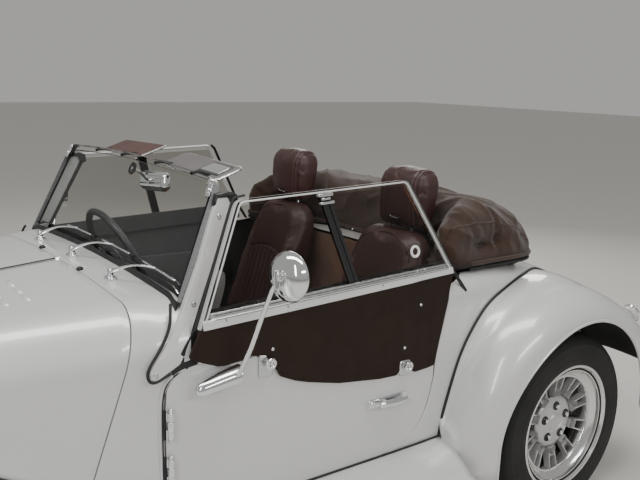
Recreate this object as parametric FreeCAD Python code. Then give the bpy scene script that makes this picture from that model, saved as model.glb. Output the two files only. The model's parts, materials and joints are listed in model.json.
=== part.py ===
"""Open two-seat roadster with separate wings and running boards, folded hood and door-top side screens.

Row frame: +X forward, +Y to the car's left, +Z up. The origin is on the ground, at the middle of the
car's length and width. All sizes are in millimetres. Each sub-part is written to parts/NAME.step.
"""
import FreeCAD
import Part

import math
import os

V = FreeCAD.Vector

# Overall sizes
WHEELBASE = 2520.0
FRONT_OVERHANG = 530.0
REAR_OVERHANG = 780.0
LENGTH = FRONT_OVERHANG + WHEELBASE + REAR_OVERHANG
FRONT_AXLE_X = LENGTH / 2 - FRONT_OVERHANG
REAR_AXLE_X = FRONT_AXLE_X - WHEELBASE
# Places along the car as they are drawn below, and where the sizes above put them. Columns: drawn x, x
LENGTH_MARKS = (
    (-1915.0, -LENGTH / 2),
    (-1135.0, REAR_AXLE_X),
    (1385.0, FRONT_AXLE_X),
    (1915.0, LENGTH / 2),
)

# Wheels and tyres
TYRE_WIDTH = 205.0
TYRE_RADIUS = 313.5
RIM_LIP_RADIUS = 207.0
RIM_SEAT_RADIUS = 190.5
RIM_HALF_WIDTH = 95.0
WHEEL_CENTRE_Y = 672.0
ARCH_RADIUS = 366.0
ARCH_CENTRE_Z = 322.0
FIN_COUNT = 20
STUD_COUNT = 5
STUD_CIRCLE_RADIUS = 57.0
STUD_HOLE_RADIUS = 6.5
PLATE_HOLE_RADIUS = 3.0
HUB_BORE_RADIUS = 32.0
BRAKE_DISC_RADIUS = 140.0
BRAKE_DISC_HALF_THICKNESS = 10.0
KINGPIN_Y = 590.0
KINGPIN_RADIUS = 11.0
STUB_RADIUS = 25.95
STUB_REACH = 41.5
DIFFERENTIAL_RADIUS = 120.0
PIPE_RADIUS = 24.0
SILENCER_RADIUS = 58.0
# Side faces of the frame rails
RAIL_INNER_Y = 300.0
RAIL_OUTER_Y = 360.0
RAIL_ARCH_Z = 372.0
# Outriggers that carry the sills: drawn x of each
OUTRIGGERS = (180.0, -250.0, -600.0)
OUTRIGGER_HALF_WIDTH = 30.0
# Frame rail in side view, rising over the rear axle. Columns: x, z
RAIL_SIDE_VIEW = (
    (1760.0, 210.0),
    (1760.0, 290.0),
    (-760.0, 290.0),
    (-900.0, 452.0),
    (-1420.0, 452.0),
    (-1560.0, 330.0),
    (-1780.0, 330.0),
    (-1780.0, 270.0),
    (-1580.0, 270.0),
    (-1440.0, RAIL_ARCH_Z),
    (-930.0, RAIL_ARCH_Z),
    (-790.0, 210.0),
)
# Columns: x, lower z
CROSS_MEMBERS = (
    (1720.0, 215.0),
    (1385.0, 215.0),
    (640.0, 215.0),
    (100.0, 215.0),
    (-700.0, 215.0),
    (-1500.0, 300.0),
)

# Body shell
WALL = 22.0
SILL_Z = 352.0
SHUT_GAP = 5.0
SEAM_TOP_X = 267.0
SEAM_TOP_Z = 901.0
SEAM_LEAN = 0.30
COWL_SETBACK = 275.0
COWL_X = LENGTH_MARKS[-1][0] - COWL_SETBACK
COWL_DEPTH = 60.0
LID_THICKNESS = 12.0
DASH_HALF_WIDTH = 530.0
COCKPIT_REAR_X = -790.0
FLOOR_TOP_Z = 306.0
FLOOR_THICKNESS = 15.7
BOOT_FLOOR_Z = 452.3

# Body cross-sections. Columns: x, half width, top z, shoulder radius, crown
BODY_STATIONS = (
    (COWL_X, 232.0, 791.0, 120.0, 30.0),
    (1100.0, 367.0, 834.0, 126.0, 24.0),
    (600.0, 490.0, 874.0, 132.0, 18.0),
    (290.0, 578.0, 899.0, 134.0, 14.0),
    (224.0, 598.0, 903.0, 130.0, 13.0),
    (60.0, 618.0, 905.0, 120.0, 12.0),
    (-330.0, 632.0, 890.0, 90.0, 14.0),
    (-700.0, 632.0, 862.0, 66.0, 16.0),
    (-1050.0, 597.0, 846.0, 70.0, 18.0),
    (-1350.0, 535.0, 790.0, 90.0, 30.0),
    (-1620.0, 450.0, 660.0, 110.0, 45.0),
    (-1830.0, 360.0, 520.0, 90.0, 45.0),
)

# Lower edge of the bonnet lids, just above the wings. Columns: x, z
LID_EDGE = (
    (200.0, 466.0),
    (400.0, 468.0),
    (500.0, 500.0),
    (600.0, 543.0),
    (700.0, 594.0),
    (820.0, 645.0),
    (950.0, 672.0),
    (1100.0, 672.0),
    (COWL_X - 5.0, 650.0),
)

# Door outline in side view, from its lower front corner. Columns: x, z
DOOR_FRONT_X = 224.0
DOOR_OUTLINE = (
    (DOOR_FRONT_X, 440.0),
    (DOOR_FRONT_X + 3.0, 636.0),
    (DOOR_FRONT_X - 1.0, 697.0),
    (DOOR_FRONT_X - 15.0, 722.0),
    (DOOR_FRONT_X - 36.0, 738.0),
    (146.0, 754.0),
    (103.0, 760.0),
    (-11.0, 755.0),
    (-76.0, 706.0),
    (-166.0, 668.0),
    (-267.0, 643.0),
    (-412.0, 623.0),
    (-548.0, 614.0),
    (-631.0, 618.0),
    (-628.0, 554.0),
    (-606.0, 474.0),
    (-580.0, 426.0),
    (-519.0, 372.0),
    (-434.0, SILL_Z + 6.0),
    (130.0, SILL_Z + 6.0),
    (170.0, 366.0),
    (200.0, 383.0),
    (218.0, 408.0),
)
# Open space above the doors. Columns: x, z
COCKPIT_SIDE_VIEW = (
    (118.0, 735.0),
    (118.0, 1000.0),
    (-712.0, 1000.0),
    (-703.0, 866.0),
    (-640.0, 600.0),
    (-548.0, 604.0),
    (-412.0, 612.0),
    (-200.0, 642.0),
    (-76.0, 700.0),
    (0.0, 735.0),
)
# Open space beside the foot of the windscreen. Columns: x, z
SCREEN_FOOT_SIDE_VIEW = (
    (168.0, 745.0),
    (152.0, 850.0),
    (146.0, 1000.0),
    (100.0, 1000.0),
    (100.0, 745.0),
)
# Tunnel between the seats. Columns: x, z
TUNNEL_SIDE_VIEW = (
    (231.7, 306.0),
    (231.7, 500.0),
    (0.0, 480.0),
    (-100.0, 470.0),
    (-560.0, 470.0),
    (COCKPIT_REAR_X + 0.3, 440.0),
    (COCKPIT_REAR_X + 0.3, 306.0),
)
# Windscreen pillar, from its foot on the scuttle. Columns: x, z
PILLAR_SIDE_VIEW = (
    (268.0, 753.0),
    (266.0, 737.0),
    (257.0, 729.0),
    (244.0, 731.0),
    (216.0, 745.0),
    (186.0, 760.0),
    (149.0, 829.0),
    (117.0, 882.0),
    (6.0, 1112.0),
    (14.0, 1136.0),
    (46.0, 1136.0),
    (51.0, 1116.0),
    (107.0, 984.0),
    (164.0, 873.0),
    (186.0, 846.0),
    (204.0, 824.0),
    (226.0, 800.0),
    (250.0, 776.0),
)
# The same pillar seen from the front. Columns: y, z
PILLAR_FRONT_VIEW = (
    (585.0, 700.0),
    (585.0, 775.0),
    (547.0, 881.0),
    (501.0, 1144.0),
    (519.5, 1144.0),
    (566.0, 881.0),
    (604.0, 775.0),
    (604.0, 700.0),
)
# Windscreen: its corners in side view
SCREEN_FOOT_X = 152.0
SCREEN_FOOT_Z = 881.0
SCREEN_TOP_X = 20.0
SCREEN_TOP_Z = 1168.0
# Side screen: outside of its frame, its glass and its lower panel. Columns: x, z
SIDESCREEN_OUTLINE = ((148.0, 835.0), (16.0, 1133.0), (-540.0, 1149.0), (-708.0, 860.0))
SIDESCREEN_GLASS = ((110.0, 872.0), (0.0, 1112.0), (-528.0, 1127.0), (-668.0, 880.0))
SIDESCREEN_BAR = ((-239.0, 1130.0), (-317.0, 864.0), (-335.0, 864.0), (-257.0, 1130.0))
LOWER_PANEL_OUTLINE = (
    (147.0, 841.0),
    (181.0, 777.0),
    (146.0, 759.0),
    (103.0, 742.0),
    (38.0, 745.0),
    (-11.0, 742.0),
    (-76.0, 676.0),
    (-166.0, 643.0),
    (-267.0, 618.0),
    (-412.0, 598.0),
    (-477.0, 595.0),
    (-495.0, 611.0),
    (-548.0, 589.0),
    (-628.0, 593.0),
    (-695.0, 853.0),
    (-708.0, 866.0),
)
SIDESCREEN_LEAN = 10.0
MIRROR_RADIUS = 58.0
PANEL_LEAN = 2.6
DOOR_THICKNESS = 48.0
BOOT_HINGE_X = -1273.0
BOOT_HINGE_Z = 804.5
DOOR_HINGE_X = 219.0
DOOR_HINGE_Y = 608.0
# Columns: lower z, upper z
HINGE_BARRELS = ((457.0, 523.0), (577.0, 643.0))
HINGE_RADIUS = 9.0
HINGE_PIN_RADIUS = 4.0

# Wings' cross-sections. Columns: x, inner y, outer y, top z, fall towards the edge, edge radius, foot z
FRONT_WING_STATIONS = (
    (1882.0, 560.0, 740.0, 500.0, 4.0, 50.0, 400.0),
    (1848.0, 512.0, 792.0, 600.0, 6.0, 90.0, 345.0),
    (1760.0, 482.0, 818.0, 692.0, 10.0, 110.0, 320.0),
    (1600.0, 470.0, 825.0, 762.0, 14.0, 115.0, 320.0),
    (1400.0, 468.0, 825.0, 784.0, 14.0, 115.0, 320.0),
    (1180.0, 466.0, 825.0, 764.0, 14.0, 115.0, 320.0),
    (950.0, 462.0, 825.0, 700.0, 14.0, 110.0, 320.0),
    (820.0, 458.0, 825.0, 649.0, 16.0, 106.0, 316.0),
    (700.0, 455.0, 825.0, 591.0, 20.0, 100.0, 310.0),
    (600.0, 460.0, 825.0, 540.0, 23.0, 94.0, 304.0),
    (500.0, 466.0, 824.0, 494.0, 26.0, 87.0, 297.0),
    (400.0, 480.0, 824.0, 452.0, 28.0, 80.0, 290.0),
    (300.0, 505.0, 823.0, 416.0, 32.0, 74.0, 282.0),
    (200.0, 530.0, 822.0, 378.0, 38.0, 60.0, 268.0),
    (120.0, 555.0, 820.0, 360.0, 44.0, 50.0, 258.0),
    (0.0, 575.0, 818.0, 356.0, 50.0, 46.0, 250.0),
    (-150.0, 590.0, 815.0, 355.0, 55.0, 42.0, 245.0),
    (-350.0, 600.0, 811.0, 354.0, 64.0, 34.0, 236.0),
    (-668.0, 600.0, 806.0, 354.0, 68.0, 30.0, 232.0),
)
REAR_WING_STATIONS = (
    (-676.0, 600.0, 706.0, 440.0, 10.0, 60.0, 240.0),
    (-705.0, 600.0, 748.0, 545.0, 14.0, 90.0, 240.0),
    (-740.0, 600.0, 780.0, 620.0, 16.0, 110.0, 240.0),
    (-790.0, 590.0, 802.0, 694.0, 18.0, 122.0, 240.0),
    (-860.0, 580.0, 816.0, 755.0, 20.0, 128.0, 240.0),
    (-950.0, 570.0, 823.0, 800.0, 20.0, 130.0, 240.0),
    (-1070.0, 560.0, 825.0, 820.0, 20.0, 130.0, 240.0),
    (-1200.0, 520.0, 825.0, 802.0, 20.0, 130.0, 240.0),
    (-1320.0, 490.0, 823.0, 757.0, 20.0, 128.0, 260.0),
    (-1440.0, 450.0, 818.0, 696.0, 20.0, 124.0, 290.0),
    (-1560.0, 410.0, 808.0, 604.0, 18.0, 114.0, 320.0),
    (-1650.0, 380.0, 792.0, 505.0, 14.0, 96.0, 330.0),
    (-1705.0, 360.0, 768.0, 410.0, 8.0, 50.0, 340.0),
)
# Seat cushion, seat back and headrest seen from the side. Columns: x, z
CUSHION_SIDE_VIEW = (
    (-190.0, FLOOR_TOP_Z + 0.3),
    (-165.0, 400.0),
    (-185.0, 476.0),
    (-260.0, 490.0),
    (-560.0, 452.0),
    (-640.0, 440.0),
    (-640.0, FLOOR_TOP_Z + 0.3),
)
SEAT_BACK_SIDE_VIEW = (
    (-560.0, 440.0),
    (-548.0, 480.0),
    (-700.0, 900.0),
    (-730.0, 945.0),
    (-765.0, 950.0),
    (-785.0, 900.0),
    (-665.0, 440.0),
)
HEADREST_SIDE_VIEW = (
    (-722.0, 938.0),
    (-716.0, 1110.0),
    (-745.0, 1138.0),
    (-800.0, 1146.0),
    (-838.0, 1128.0),
    (-846.0, 1090.0),
    (-800.0, 938.0),
)
# Seat back and headrest seen from the front. Columns: y, z
SEAT_BACK_FRONT_VIEW = (
    (125.0, 430.0),
    (125.0, 840.0),
    (150.0, 905.0),
    (200.0, 955.0),
    (425.0, 955.0),
    (475.0, 905.0),
    (500.0, 840.0),
    (500.0, 430.0),
)
HEADREST_FRONT_VIEW = (
    (185.0, 930.0),
    (185.0, 1085.0),
    (205.0, 1128.0),
    (250.0, 1150.0),
    (355.0, 1150.0),
    (400.0, 1128.0),
    (420.0, 1085.0),
    (420.0, 930.0),
)
# Headlamp, from the back of its bowl. Columns: x, radius
HEADLAMP_PROFILE = (
    (1500.0, 0.0),
    (1502.0, 30.0),
    (1520.0, 58.0),
    (1560.0, 80.0),
    (1610.0, 88.0),
    (1636.0, 90.0),
    (1640.0, 82.0),
    (1650.0, 50.0),
    (1653.0, 0.0),
)
HEADLAMP_Y = 358.0
HEADLAMP_Z = 700.0
SLAT_PITCH = 28.0
SLAT_COUNT = 13
# Folded hood, from its left end to the middle. Columns: y, front x, rear x, top z, foot z
HOOD_STATIONS = (
    (594.0, -790.0, -1060.0, 905.0, 866.0),
    (578.0, -730.0, -1130.0, 960.0, 840.0),
    (545.0, -705.0, -1172.0, 1008.0, 830.0),
    (512.0, -740.0, -1186.0, 1030.0, 820.0),
    (500.0, -808.0, -1188.0, 1034.0, 820.0),
    (430.0, -852.0, -1190.0, 1042.0, 820.0),
    (0.0, -856.0, -1190.0, 1050.0, 820.0),
)
WING_SKIN = 7.0
APRON_Z = 600.0


def along(x):
    """Where the place that is drawn at x lies, between the marks."""
    for (drawn_a, a), (drawn_b, b) in zip(LENGTH_MARKS[:-1], LENGTH_MARKS[1:]):
        if x <= drawn_b or b == LENGTH_MARKS[-1][1]:
            return a + (b - a) * (x - drawn_a) / (drawn_b - drawn_a)


def at(x, y, z):
    """A point, from its drawn x."""
    return V(along(x), y, z)


def block(x0, x1, y0, y1, z0, z1):
    """A box between two corners, whichever way round they are given."""
    low = V(min(x0, x1), min(y0, y1), min(z0, z1))
    return Part.makeBox(abs(x1 - x0), abs(y1 - y0), abs(z1 - z0), low)


def box(x0, x1, y0, y1, z0, z1):
    """A box whose ends are given by their drawn x."""
    return block(along(x0), along(x1), y0, y1, z0, z1)


def prism(points, y0, y1):
    """A prism whose side view is the polygon of (x, z) points."""
    corners = [V(x, y0, z) for x, z in points]
    face = Part.Face(Part.makePolygon(corners + [corners[0]]))
    return face.extrude(V(0, y1 - y0, 0))


def side_prism(points, y0, y1):
    """A prism from the drawn x and the z of the corners of its side view."""
    return prism([(along(x), z) for x, z in points], y0, y1)


def front_prism(points, side):
    """A long prism whose front view is the polygon of (y, z) points, on the side that side gives."""
    corners = [V(-LENGTH, side * y, z) for y, z in points]
    return Part.Face(Part.makePolygon(corners + [corners[0]])).extrude(V(2 * LENGTH, 0, 0))


def mirrored_point(point):
    return V(point.x, -point.y, point.z)


def mirrored(shape):
    """The same piece on the other side of the car."""
    return shape.mirror(V(0, 0, 0), V(0, 1, 0))


def join(shapes):
    """One piece made of overlapping solids."""
    result = shapes[0]
    if len(shapes) > 1:
        result = shapes[0].fuse(shapes[1:])
    return result.removeSplitter()


def largest(shape):
    return max(shape.Solids, key=lambda solid: solid.Volume)


def rod(start, end, radius):
    return Part.makeCylinder(radius, (end - start).Length, start, end - start)


def turned_about_y(profile, centre):
    """A ring turned about the axle line through centre. The profile's points are (radius, y)."""
    points = [centre + V(r, y, 0) for r, y in profile]
    face = Part.Face(Part.makePolygon(points + [points[0]]))
    return face.revolve(centre, V(0, 1, 0), 360)


def body_section(x, half_width, top, radius, crown, inset, foot):
    """One closed cross-section of the body: flat foot, upright sides, round shoulders, crowned top."""
    x = along(x)
    w = half_width - inset
    r = max(radius - inset, 8.0)
    edge_z = top - crown - inset
    diagonal = r * (1 - math.sqrt(0.5))
    foot_left = V(x, w, foot)
    side_left = V(x, w, edge_z - r)
    edge_left = V(x, w - r, edge_z)
    edge_right = V(x, r - w, edge_z)
    side_right = V(x, -w, edge_z - r)
    foot_right = V(x, -w, foot)
    return Part.Wire([
        Part.makeLine(foot_left, side_left),
        Part.Arc(side_left, V(x, w - diagonal, edge_z - diagonal), edge_left).toShape(),
        Part.Arc(edge_left, V(x, 0, top - inset), edge_right).toShape(),
        Part.Arc(edge_right, V(x, diagonal - w, edge_z - diagonal), side_right).toShape(),
        Part.makeLine(side_right, foot_right),
        Part.makeLine(foot_right, foot_left),
    ])


def body_solid(inset=0.0, foot=SILL_Z):
    wires = [body_section(*station, inset=inset, foot=foot) for station in BODY_STATIONS]
    return Part.makeLoft(wires, True, True)


def seam_block(x_shift, to_front):
    """Everything ahead of, or behind, the leaning seam between bonnet and scuttle."""
    low_z = 100.0
    high_z = 1100.0
    low_x = SEAM_TOP_X + x_shift + SEAM_LEAN * (SEAM_TOP_Z - low_z)
    high_x = SEAM_TOP_X + x_shift + SEAM_LEAN * (SEAM_TOP_Z - high_z)
    far_x = 2 * COWL_X if to_front else -2 * COWL_X
    return side_prism(((low_x, low_z), (high_x, high_z), (far_x, high_z), (far_x, low_z)), -900, 900)


def offset_outline(points, gap):
    """The outline moved out by gap, for a polygon of (x, z) points that are listed clockwise or not."""
    corners = [at(x, 0, z) for x, z in points]
    face = Part.Face(Part.makePolygon(corners + [corners[0]]))
    return face.makeOffset2D(gap, 2, False, False, False)


def wheel_parts(x, side):
    """Tyre, rim with its spokes, and hub with brake disc, for one corner."""
    centre = V(x, side * WHEEL_CENTRE_Y, TYRE_RADIUS)
    half = TYRE_WIDTH / 2
    tyre_profile = (
        (RIM_SEAT_RADIUS, -RIM_HALF_WIDTH + 4),
        (RIM_LIP_RADIUS + 6, -RIM_HALF_WIDTH - 1),
        (250.0, -half),
        (285.0, -half + 4),
        (TYRE_RADIUS - 10, -half + 16),
        (TYRE_RADIUS, -half + 34),
        (TYRE_RADIUS, half - 34),
        (TYRE_RADIUS - 10, half - 16),
        (285.0, half - 4),
        (250.0, half),
        (RIM_LIP_RADIUS + 6, RIM_HALF_WIDTH + 1),
        (RIM_SEAT_RADIUS, RIM_HALF_WIDTH - 4),
    )
    tyre = turned_about_y([(r, side * y) for r, y in tyre_profile], centre)
    rim_profile = (
        (RIM_SEAT_RADIUS - 0.3, -RIM_HALF_WIDTH + 3.6),
        (RIM_LIP_RADIUS + 5, -RIM_HALF_WIDTH - 1.2),
        (RIM_LIP_RADIUS + 3, -RIM_HALF_WIDTH - 4),
        (RIM_LIP_RADIUS - 8, -RIM_HALF_WIDTH - 3),
        (RIM_SEAT_RADIUS - 12, -RIM_HALF_WIDTH + 8),
        (RIM_SEAT_RADIUS - 14, RIM_HALF_WIDTH - 30),
        (RIM_SEAT_RADIUS - 10, RIM_HALF_WIDTH - 14),
        (RIM_LIP_RADIUS - 8, RIM_HALF_WIDTH + 3),
        (RIM_LIP_RADIUS + 3, RIM_HALF_WIDTH + 4),
        (RIM_LIP_RADIUS + 5, RIM_HALF_WIDTH + 1.2),
        (RIM_SEAT_RADIUS - 0.3, RIM_HALF_WIDTH - 3.6),
    )
    rim = turned_about_y([(r, side * y) for r, y in rim_profile], centre)
    hub_profile = ((HUB_BORE_RADIUS, 8.0), (80.0, 8.0), (80.0, 44.0), (HUB_BORE_RADIUS, 44.0))
    hub_disc = turned_about_y([(r, side * y) for r, y in hub_profile], centre)
    fins = []
    fin_reach = RIM_SEAT_RADIUS - 11
    for index in range(FIN_COUNT):
        fin = prism(((70, -5), (fin_reach, -5), (fin_reach, 5), (70, 5)), side * 30.0, side * 62.0)
        fin.rotate(V(0, 0, 0), V(0, 1, 0), 360.0 * index / FIN_COUNT)
        fin.translate(centre)
        fins.append(fin)
    wheel = join([rim, hub_disc] + fins)
    for index in range(STUD_COUNT):
        angle = math.radians(90 + 360.0 * index / STUD_COUNT)
        spot = V(STUD_CIRCLE_RADIUS * math.cos(angle), side * 60.0, STUD_CIRCLE_RADIUS * math.sin(angle))
        wheel = wheel.cut(Part.makeCylinder(STUD_HOLE_RADIUS, 80, centre + spot, V(0, -side, 0)))
    disc_profile = (
        (26.0, -12.0),
        (BRAKE_DISC_RADIUS, -12.0),
        (BRAKE_DISC_RADIUS, -12.3 + 2 * BRAKE_DISC_HALF_THICKNESS),
        (HUB_BORE_RADIUS - 0.4, -12.3 + 2 * BRAKE_DISC_HALF_THICKNESS),
        (HUB_BORE_RADIUS - 0.4, 50.0),
        (26.0, 50.0),
    )
    disc = turned_about_y([(r, side * y) for r, y in disc_profile], centre)
    disc = disc.fuse(Part.makeCylinder(26.05, 8, centre + V(0, side * 42.0, 0), V(0, side, 0)))
    return tyre, Part.makeCompound([wheel, disc.removeSplitter()])


def wing_section(x, inner_y, outer_y, top, fall, radius, foot, inset=0.0):
    """One closed cross-section of a left wing, lower and open to the inside when inset."""
    x = along(x)
    r = max(radius - inset, 6.0)
    y = outer_y - inset
    shoulder_z = top - fall - inset
    diagonal = r * (1 - math.sqrt(0.5))
    start = inner_y + inset
    low = foot - (40 if inset else 0)
    inner_foot = V(x, start, low)
    inner_top = V(x, start, top - inset)
    shoulder = V(x, y - r, shoulder_z)
    edge = V(x, y, shoulder_z - r)
    outer_foot = V(x, y, low)
    return Part.Wire([
        Part.makeLine(inner_foot, inner_top),
        Part.makeLine(inner_top, shoulder),
        Part.Arc(shoulder, V(x, y - diagonal, shoulder_z - diagonal), edge).toShape(),
        Part.makeLine(edge, outer_foot),
        Part.makeLine(outer_foot, inner_foot),
    ])


def wing_shell(stations, axle_x):
    """A left wing as a thin pressing, open below and at the wheel."""
    outer = Part.makeLoft([wing_section(*s) for s in stations], True, True)
    inner_sections = []
    middle = (stations[0][0] + stations[-1][0]) / 2
    half_length = abs(stations[0][0] - stations[-1][0]) / 2
    for s in stations:
        x = middle + (s[0] - middle) * (1 - 1.3 * WING_SKIN / half_length)
        inner_sections.append(wing_section(x, *s[1:], inset=WING_SKIN))
    inner = Part.makeLoft(inner_sections, True, True)
    arch = Part.makeCylinder(ARCH_RADIUS, 400, V(axle_x, 600, ARCH_CENTRE_Z), V(0, 1, 0))
    below = block(axle_x - ARCH_RADIUS, axle_x + ARCH_RADIUS, 300, 900, 0, ARCH_CENTRE_Z)
    shell = outer.cut(inner).cut(arch).cut(below)
    if axle_x > 0:
        shell = shell.cut(box(-800, 1900, 0, 520, 0, APRON_Z))
    return shell


def hood_section(y, front_x, rear_x, top, foot):
    """One closed cross-section of the folded hood: flat foot, short ends, round top."""
    front_x = along(front_x)
    rear_x = along(rear_x)
    shoulder = foot + 0.45 * (top - foot)
    front_foot = V(front_x, y, foot)
    front_shoulder = V(front_x, y, shoulder)
    rear_shoulder = V(rear_x, y, shoulder)
    rear_foot = V(rear_x, y, foot)
    return Part.Wire([
        Part.makeLine(front_foot, front_shoulder),
        Part.Arc(front_shoulder, V(0.6 * front_x + 0.4 * rear_x, y, top), rear_shoulder).toShape(),
        Part.makeLine(rear_shoulder, rear_foot),
        Part.makeLine(rear_foot, front_foot),
    ])


PARTS = {}


def build_running_gear():
    for end, x in (("front", FRONT_AXLE_X), ("rear", REAR_AXLE_X)):
        for name, side in (("left", 1), ("right", -1)):
            tyre, wheel = wheel_parts(x, side)
            PARTS["tyre_%s_%s" % (end, name)] = tyre
            PARTS["wheel_%s_%s" % (end, name)] = wheel
    # Steering knuckles: stub axle, upright and steering arm
    for name, side in (("left", 1), ("right", -1)):
        y = side * KINGPIN_Y
        stub_end = V(FRONT_AXLE_X, side * (WHEEL_CENTRE_Y + STUB_REACH), TYRE_RADIUS)
        stub = rod(V(FRONT_AXLE_X, y, TYRE_RADIUS), stub_end, STUB_RADIUS)
        post = block(FRONT_AXLE_X - 22, FRONT_AXLE_X + 22, y - 22, y + 22,
                     TYRE_RADIUS - 78, TYRE_RADIUS + 78)
        arm = block(FRONT_AXLE_X - 130, FRONT_AXLE_X - 10, y - 12, y + 12,
                    TYRE_RADIUS - 60, TYRE_RADIUS - 40)
        knuckle = join([stub, post, arm])
        knuckle = knuckle.cut(rod(V(FRONT_AXLE_X, y, 200), V(FRONT_AXLE_X, y, 440), KINGPIN_RADIUS + 0.05))
        PARTS["knuckle_%s" % name] = knuckle
    # Front suspension: lower and upper arms from the chassis to the kingpins
    solids = []
    for side in (1, -1):
        y = side * KINGPIN_Y
        root = side * (RAIL_OUTER_Y + 0.3)
        lower = block(FRONT_AXLE_X - 20, FRONT_AXLE_X + 20, root, y + side * 16, 208, 232)
        upper = block(FRONT_AXLE_X - 20, FRONT_AXLE_X + 20, root, y + side * 16, 396, 420)
        pin = rod(V(FRONT_AXLE_X, y, 208), V(FRONT_AXLE_X, y, 420), KINGPIN_RADIUS)
        tower = block(FRONT_AXLE_X - 40, FRONT_AXLE_X + 40, root, root + side * 24.7, 208, 440)
        solids.append(join([lower, upper, pin, tower]))
    PARTS["front_suspension"] = Part.makeCompound(solids)
    # Rear axle: beam with stub ends, differential and two lower links
    beam_end = V(REAR_AXLE_X, WHEEL_CENTRE_Y + STUB_REACH, TYRE_RADIUS)
    beam = rod(mirrored_point(beam_end), beam_end, STUB_RADIUS)
    casing = rod(V(REAR_AXLE_X, -560, TYRE_RADIUS), V(REAR_AXLE_X, 560, TYRE_RADIUS), 38)
    diff = Part.makeSphere(DIFFERENTIAL_RADIUS, V(REAR_AXLE_X, 0, TYRE_RADIUS))
    axle = [beam, casing, diff]
    for side in (1, -1):
        link_end = along(OUTRIGGERS[-1]) - OUTRIGGER_HALF_WIDTH - 0.3
        link = ((REAR_AXLE_X + 20, TYRE_RADIUS - 30), (REAR_AXLE_X - 20, TYRE_RADIUS - 60),
                (link_end, 232), (link_end, 262))
        axle.append(prism(link, side * 365, side * 395))
        axle.append(block(REAR_AXLE_X - 30, REAR_AXLE_X + 30, side * 300, side * 352,
                          TYRE_RADIUS, RAIL_ARCH_Z - 0.3))
    PARTS["rear_axle"] = join(axle)


def build_chassis():
    rails = []
    for side in (1, -1):
        rails.append(side_prism(RAIL_SIDE_VIEW, side * RAIL_INNER_Y, side * RAIL_OUTER_Y))
    for x, z in CROSS_MEMBERS:
        rails.append(block(along(x) - 35, along(x) + 35, -310, 310, z, z + 55))
    for x in OUTRIGGERS:
        front = along(x) + OUTRIGGER_HALF_WIDTH
        rear = along(x) - OUTRIGGER_HALF_WIDTH
        for side in (1, -1):
            rails.append(block(rear, front, side * 350, side * 600, 230, 290))
            rails.append(block(rear, front, side * 590, side * 700, 230, 262))
    PARTS["chassis"] = join(rails)
    cylinders = box(700, 1240, -170, 170, 272, 700)
    sump = box(760, 1180, -130, 130, 230, 280)
    gearbox = side_prism(((230, 290), (230, 440), (720, 470), (720, 290)), -95, 95)
    feet = [box(900, 960, side * 160, side * 330, 290.3, 322) for side in (1, -1)]
    shaft = rod(at(235, 0, 350), V(REAR_AXLE_X + DIFFERENTIAL_RADIUS + 2, 0, TYRE_RADIUS), 32)
    PARTS["engine"] = join([cylinders, sump, gearbox, shaft] + feet)
    PARTS["fuel_tank"] = box(-1450, -1272, -285, 285, 290, 452)


def door_top_cut():
    """Space above the doors and across the cockpit, which is open."""
    cuts = [side_prism(COCKPIT_SIDE_VIEW, -900, 900)]
    for side in (1, -1):
        cuts.append(side_prism(SCREEN_FOOT_SIDE_VIEW, side * 585, side * 900))
    cuts.append(box(COCKPIT_REAR_X, 100, -560, 560, 560, 1000))
    return cuts


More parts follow.
